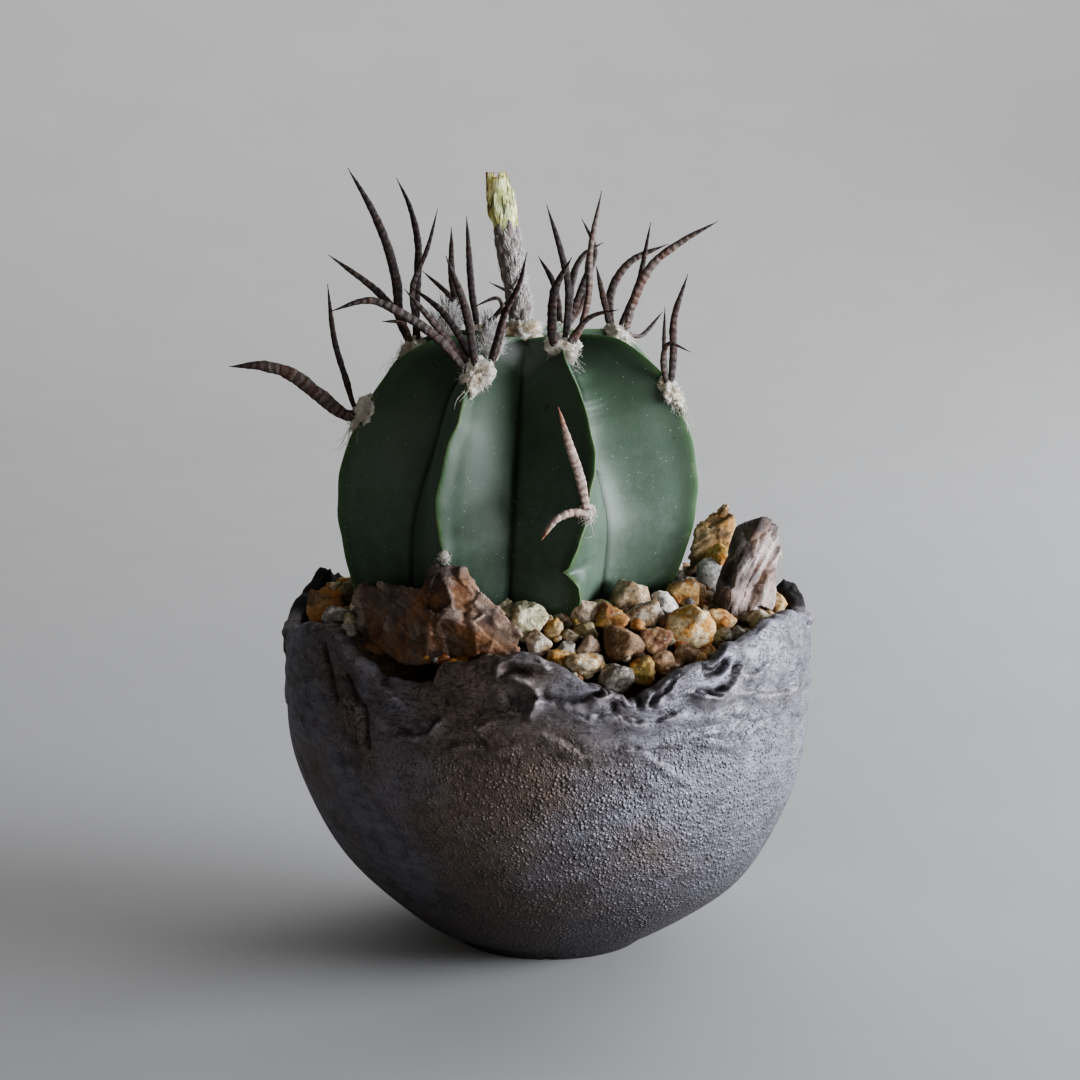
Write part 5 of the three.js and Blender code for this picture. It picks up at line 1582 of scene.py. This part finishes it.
def petals(draw):
    blade_bar = bar(12, 20)
    bm, blades, (layer,) = copies(blade_bar, PETALS, "petal")
    # Noise that gives a direction starts from the clock unless it is seeded.
    noise.seed_set(PEBBLE_SEED + 50)
    for i, verts in enumerate(blades):
        inner = i % 3 == 0
        turn = i * SPIRAL + 0.06 * draw()
        length = lerp(*PETAL_LENGTHS, draw()) * (0.85 if inner else 1)
        centre = Vector((-8, 3, PETAL_FOOT))
        out = round_point(turn, 1, 0)
        lean = Vector((-0.2, 0, 1))
        spread = 0.5 if inner else 1.0
        bulge = spread * (1.5 + 0.5 * draw())
        close = spread * (0.7 + 1.2 * draw())
        side = Vector((draw() - 0.5, draw() - 0.5, 0)) * 0.9
        path = Path([
            centre + out * spread * 1.5, centre + out * bulge + lean * length * 0.35,
            centre + out * bulge * 0.95 + lean * length * 0.7 + side * 0.5,
            centre + out * close + lean * length + side,
        ])
        offset = Vector((draw(), draw(), draw())) * 30
        marks = [(layer, lambda along: (along, draw(), 0, 1))]

        def width_at(along):
            return 0.5 + 1.7 * math.sin(math.pi * (0.12 + 0.74 * along)) ** 0.8

        bend(verts, path, width_at, 0.25, 20, marks=marks)
        for vert in verts:
            place = Vector((vert.co.x, vert.co.y, vert.co.z / 2.5))
            crumple = noise.noise_vector(place / 1.5 + offset) * 0.5 + noise.noise_vector(place / 0.7) * 0.14
            vert.co += crumple * smoothstep(vert.co.z, PETAL_FOOT, PETAL_FOOT + 3)
    return bm


# %% The petals' finish and piece
dried = Finish("dried_petal", Roughness=0.65, Subsurface_Weight=0.2, Subsurface_Scale=0.002)
petal_share = dried.part(dried.mark("petal", "Color"), "X")
veins = dried.noise(1, 4, 0.6, dried.stretched((2.5, 2.5, 0.35)))
patch = dried.noise(0.45, 3)
petal_green = dried.mix(patch.step(0.35, 0.65), (0.42, 0.43, 0.13), (0.76, 0.76, 0.40))
age = (petal_share * 0.6 + patch * 0.5).step(0.6, 0.95) * 0.35
petal_aged = dried.mix(age, petal_green, (0.50, 0.42, 0.18))
petal_colour = dried.mix(veins.step(0.50, 0.58) * 0.9, petal_aged, (0.050, 0.046, 0.020))
petal_finish = dried.finish(Base_Color=petal_colour, Normal=dried.bump(veins, 0.3))
brush = petals(draws_from(PEBBLE_SEED + 50))
piece(brush, "dried_petals", petal_finish, "flower_petals")

# %% [markdown]
# A bud's core is an egg. Dark bristles stand on its upper half, and white wool hangs on one side.
# The core is whiter on that side, towards the window: partly the wool and partly painted light.

# %% Buds
BUDS = {"front": (-11.2, -16.6, 115.7), "back": (-19.4, 6.8, 116.9)}
BUD_RADIUS, BUD_HEIGHT, BUD_ROWS, BUD_HAIRS = 2.2, 9, 16, 330


def bud(at, draw):
    centre = Vector(at)

    def on_egg(turn, lift, size):
        height = BUD_HEIGHT * size / 2 * math.sin(lift)
        return centre + round_point(turn, BUD_RADIUS * size * math.cos(lift), height)

    core = moved_ball(24, BUD_ROWS, lambda turn, row: on_egg(turn, math.pi * (row / BUD_ROWS - 0.5), 0.92))
    bm, hairs, (layer,) = copies(hair_bar, BUD_HAIRS, "fibre", start=core)
    for vert in bm.verts:
        # The core is whiter on its side towards the window, where the wool hangs: partly that wool and partly
        # painted light.
        lit = smoothstep(vert.co.x - vert.co.y - centre.x + centre.y, -1, 1.5)
        vert[layer] = (0.6, 0.3, 0, 0.25 + 0.75 * lit)
    for i, verts in enumerate(hairs):
        is_bristle = i % 5 == 0
        turn, lift = draw(), math.pi * (0.5 * draw() ** 0.8 - (0.02 if is_bristle else 0.12))
        if not is_bristle:
            turn = 0.9 + 0.55 * (turn - 0.5)
        out = round_point(turn, math.cos(lift), 0)
        if is_bristle:
            ahead, length, width, curl = out * 0.5 + Vector((0, 0, 1)), 2.4 + 2.2 * draw(), 0.2, 0.1
        else:
            ahead, length, width, curl = out * 0.7 + Vector((0, 0, 0.8)), 1.4 + 1.6 * draw(), 0.16, 0.5
        tone = 0.6 + 0.4 * draw()
        marks = [(layer, lambda along: (0 if is_bristle else tone, along, 0, not is_bristle))]
        hair(verts, on_egg(turn, lift, 0.88), ahead, length, width, curl, draw, marks)
    return bm


draw = draws_from(PEBBLE_SEED + 60)
for name, at in BUDS.items():
    piece(bud(at, draw), "hairy_bud_" + name, fluff_finish, "bud_" + name)

# %% [markdown]
# ## Floor
#
# The floor is a plain pale sheet that sweeps up behind, so there is no horizon. It is no part of
# the object.

# %% Floor
floor_finish = Finish("pale_floor", Roughness=0.7)
speckle = floor_finish.noise(0.02, 4)
floor_material = floor_finish.finish(
    Base_Color=floor_finish.mix(speckle, (0.36, 0.36, 0.365), (0.40, 0.40, 0.40))
)
SWEEP_START, SWEEP_RADIUS, SHEET_WIDTH, SHEET_LENGTH, SHEET_FRONT = 0.7, 0.9, 6, 6, -2.5
sheet = bmesh.new()
bmesh.ops.create_grid(sheet, x_segments=8, y_segments=80, size=0.5)
for vert in sheet.verts:
    way = (vert.co.y + 0.5) * SHEET_LENGTH + SHEET_FRONT
    bent = min(math.pi / 2, max(0, way - SWEEP_START) / SWEEP_RADIUS)
    straight_up = max(0, way - SWEEP_START - SWEEP_RADIUS * math.pi / 2)
    vert.co = (
        vert.co.x * SHEET_WIDTH, min(way, SWEEP_START) + SWEEP_RADIUS * math.sin(bent),
        SWEEP_RADIUS * (1 - math.cos(bent)) + straight_up,
    )
floor_mesh = as_mesh(sheet, "floor", smooth=True)
floor_mesh.materials.append(floor_material)
floor = link("floor", floor_mesh)
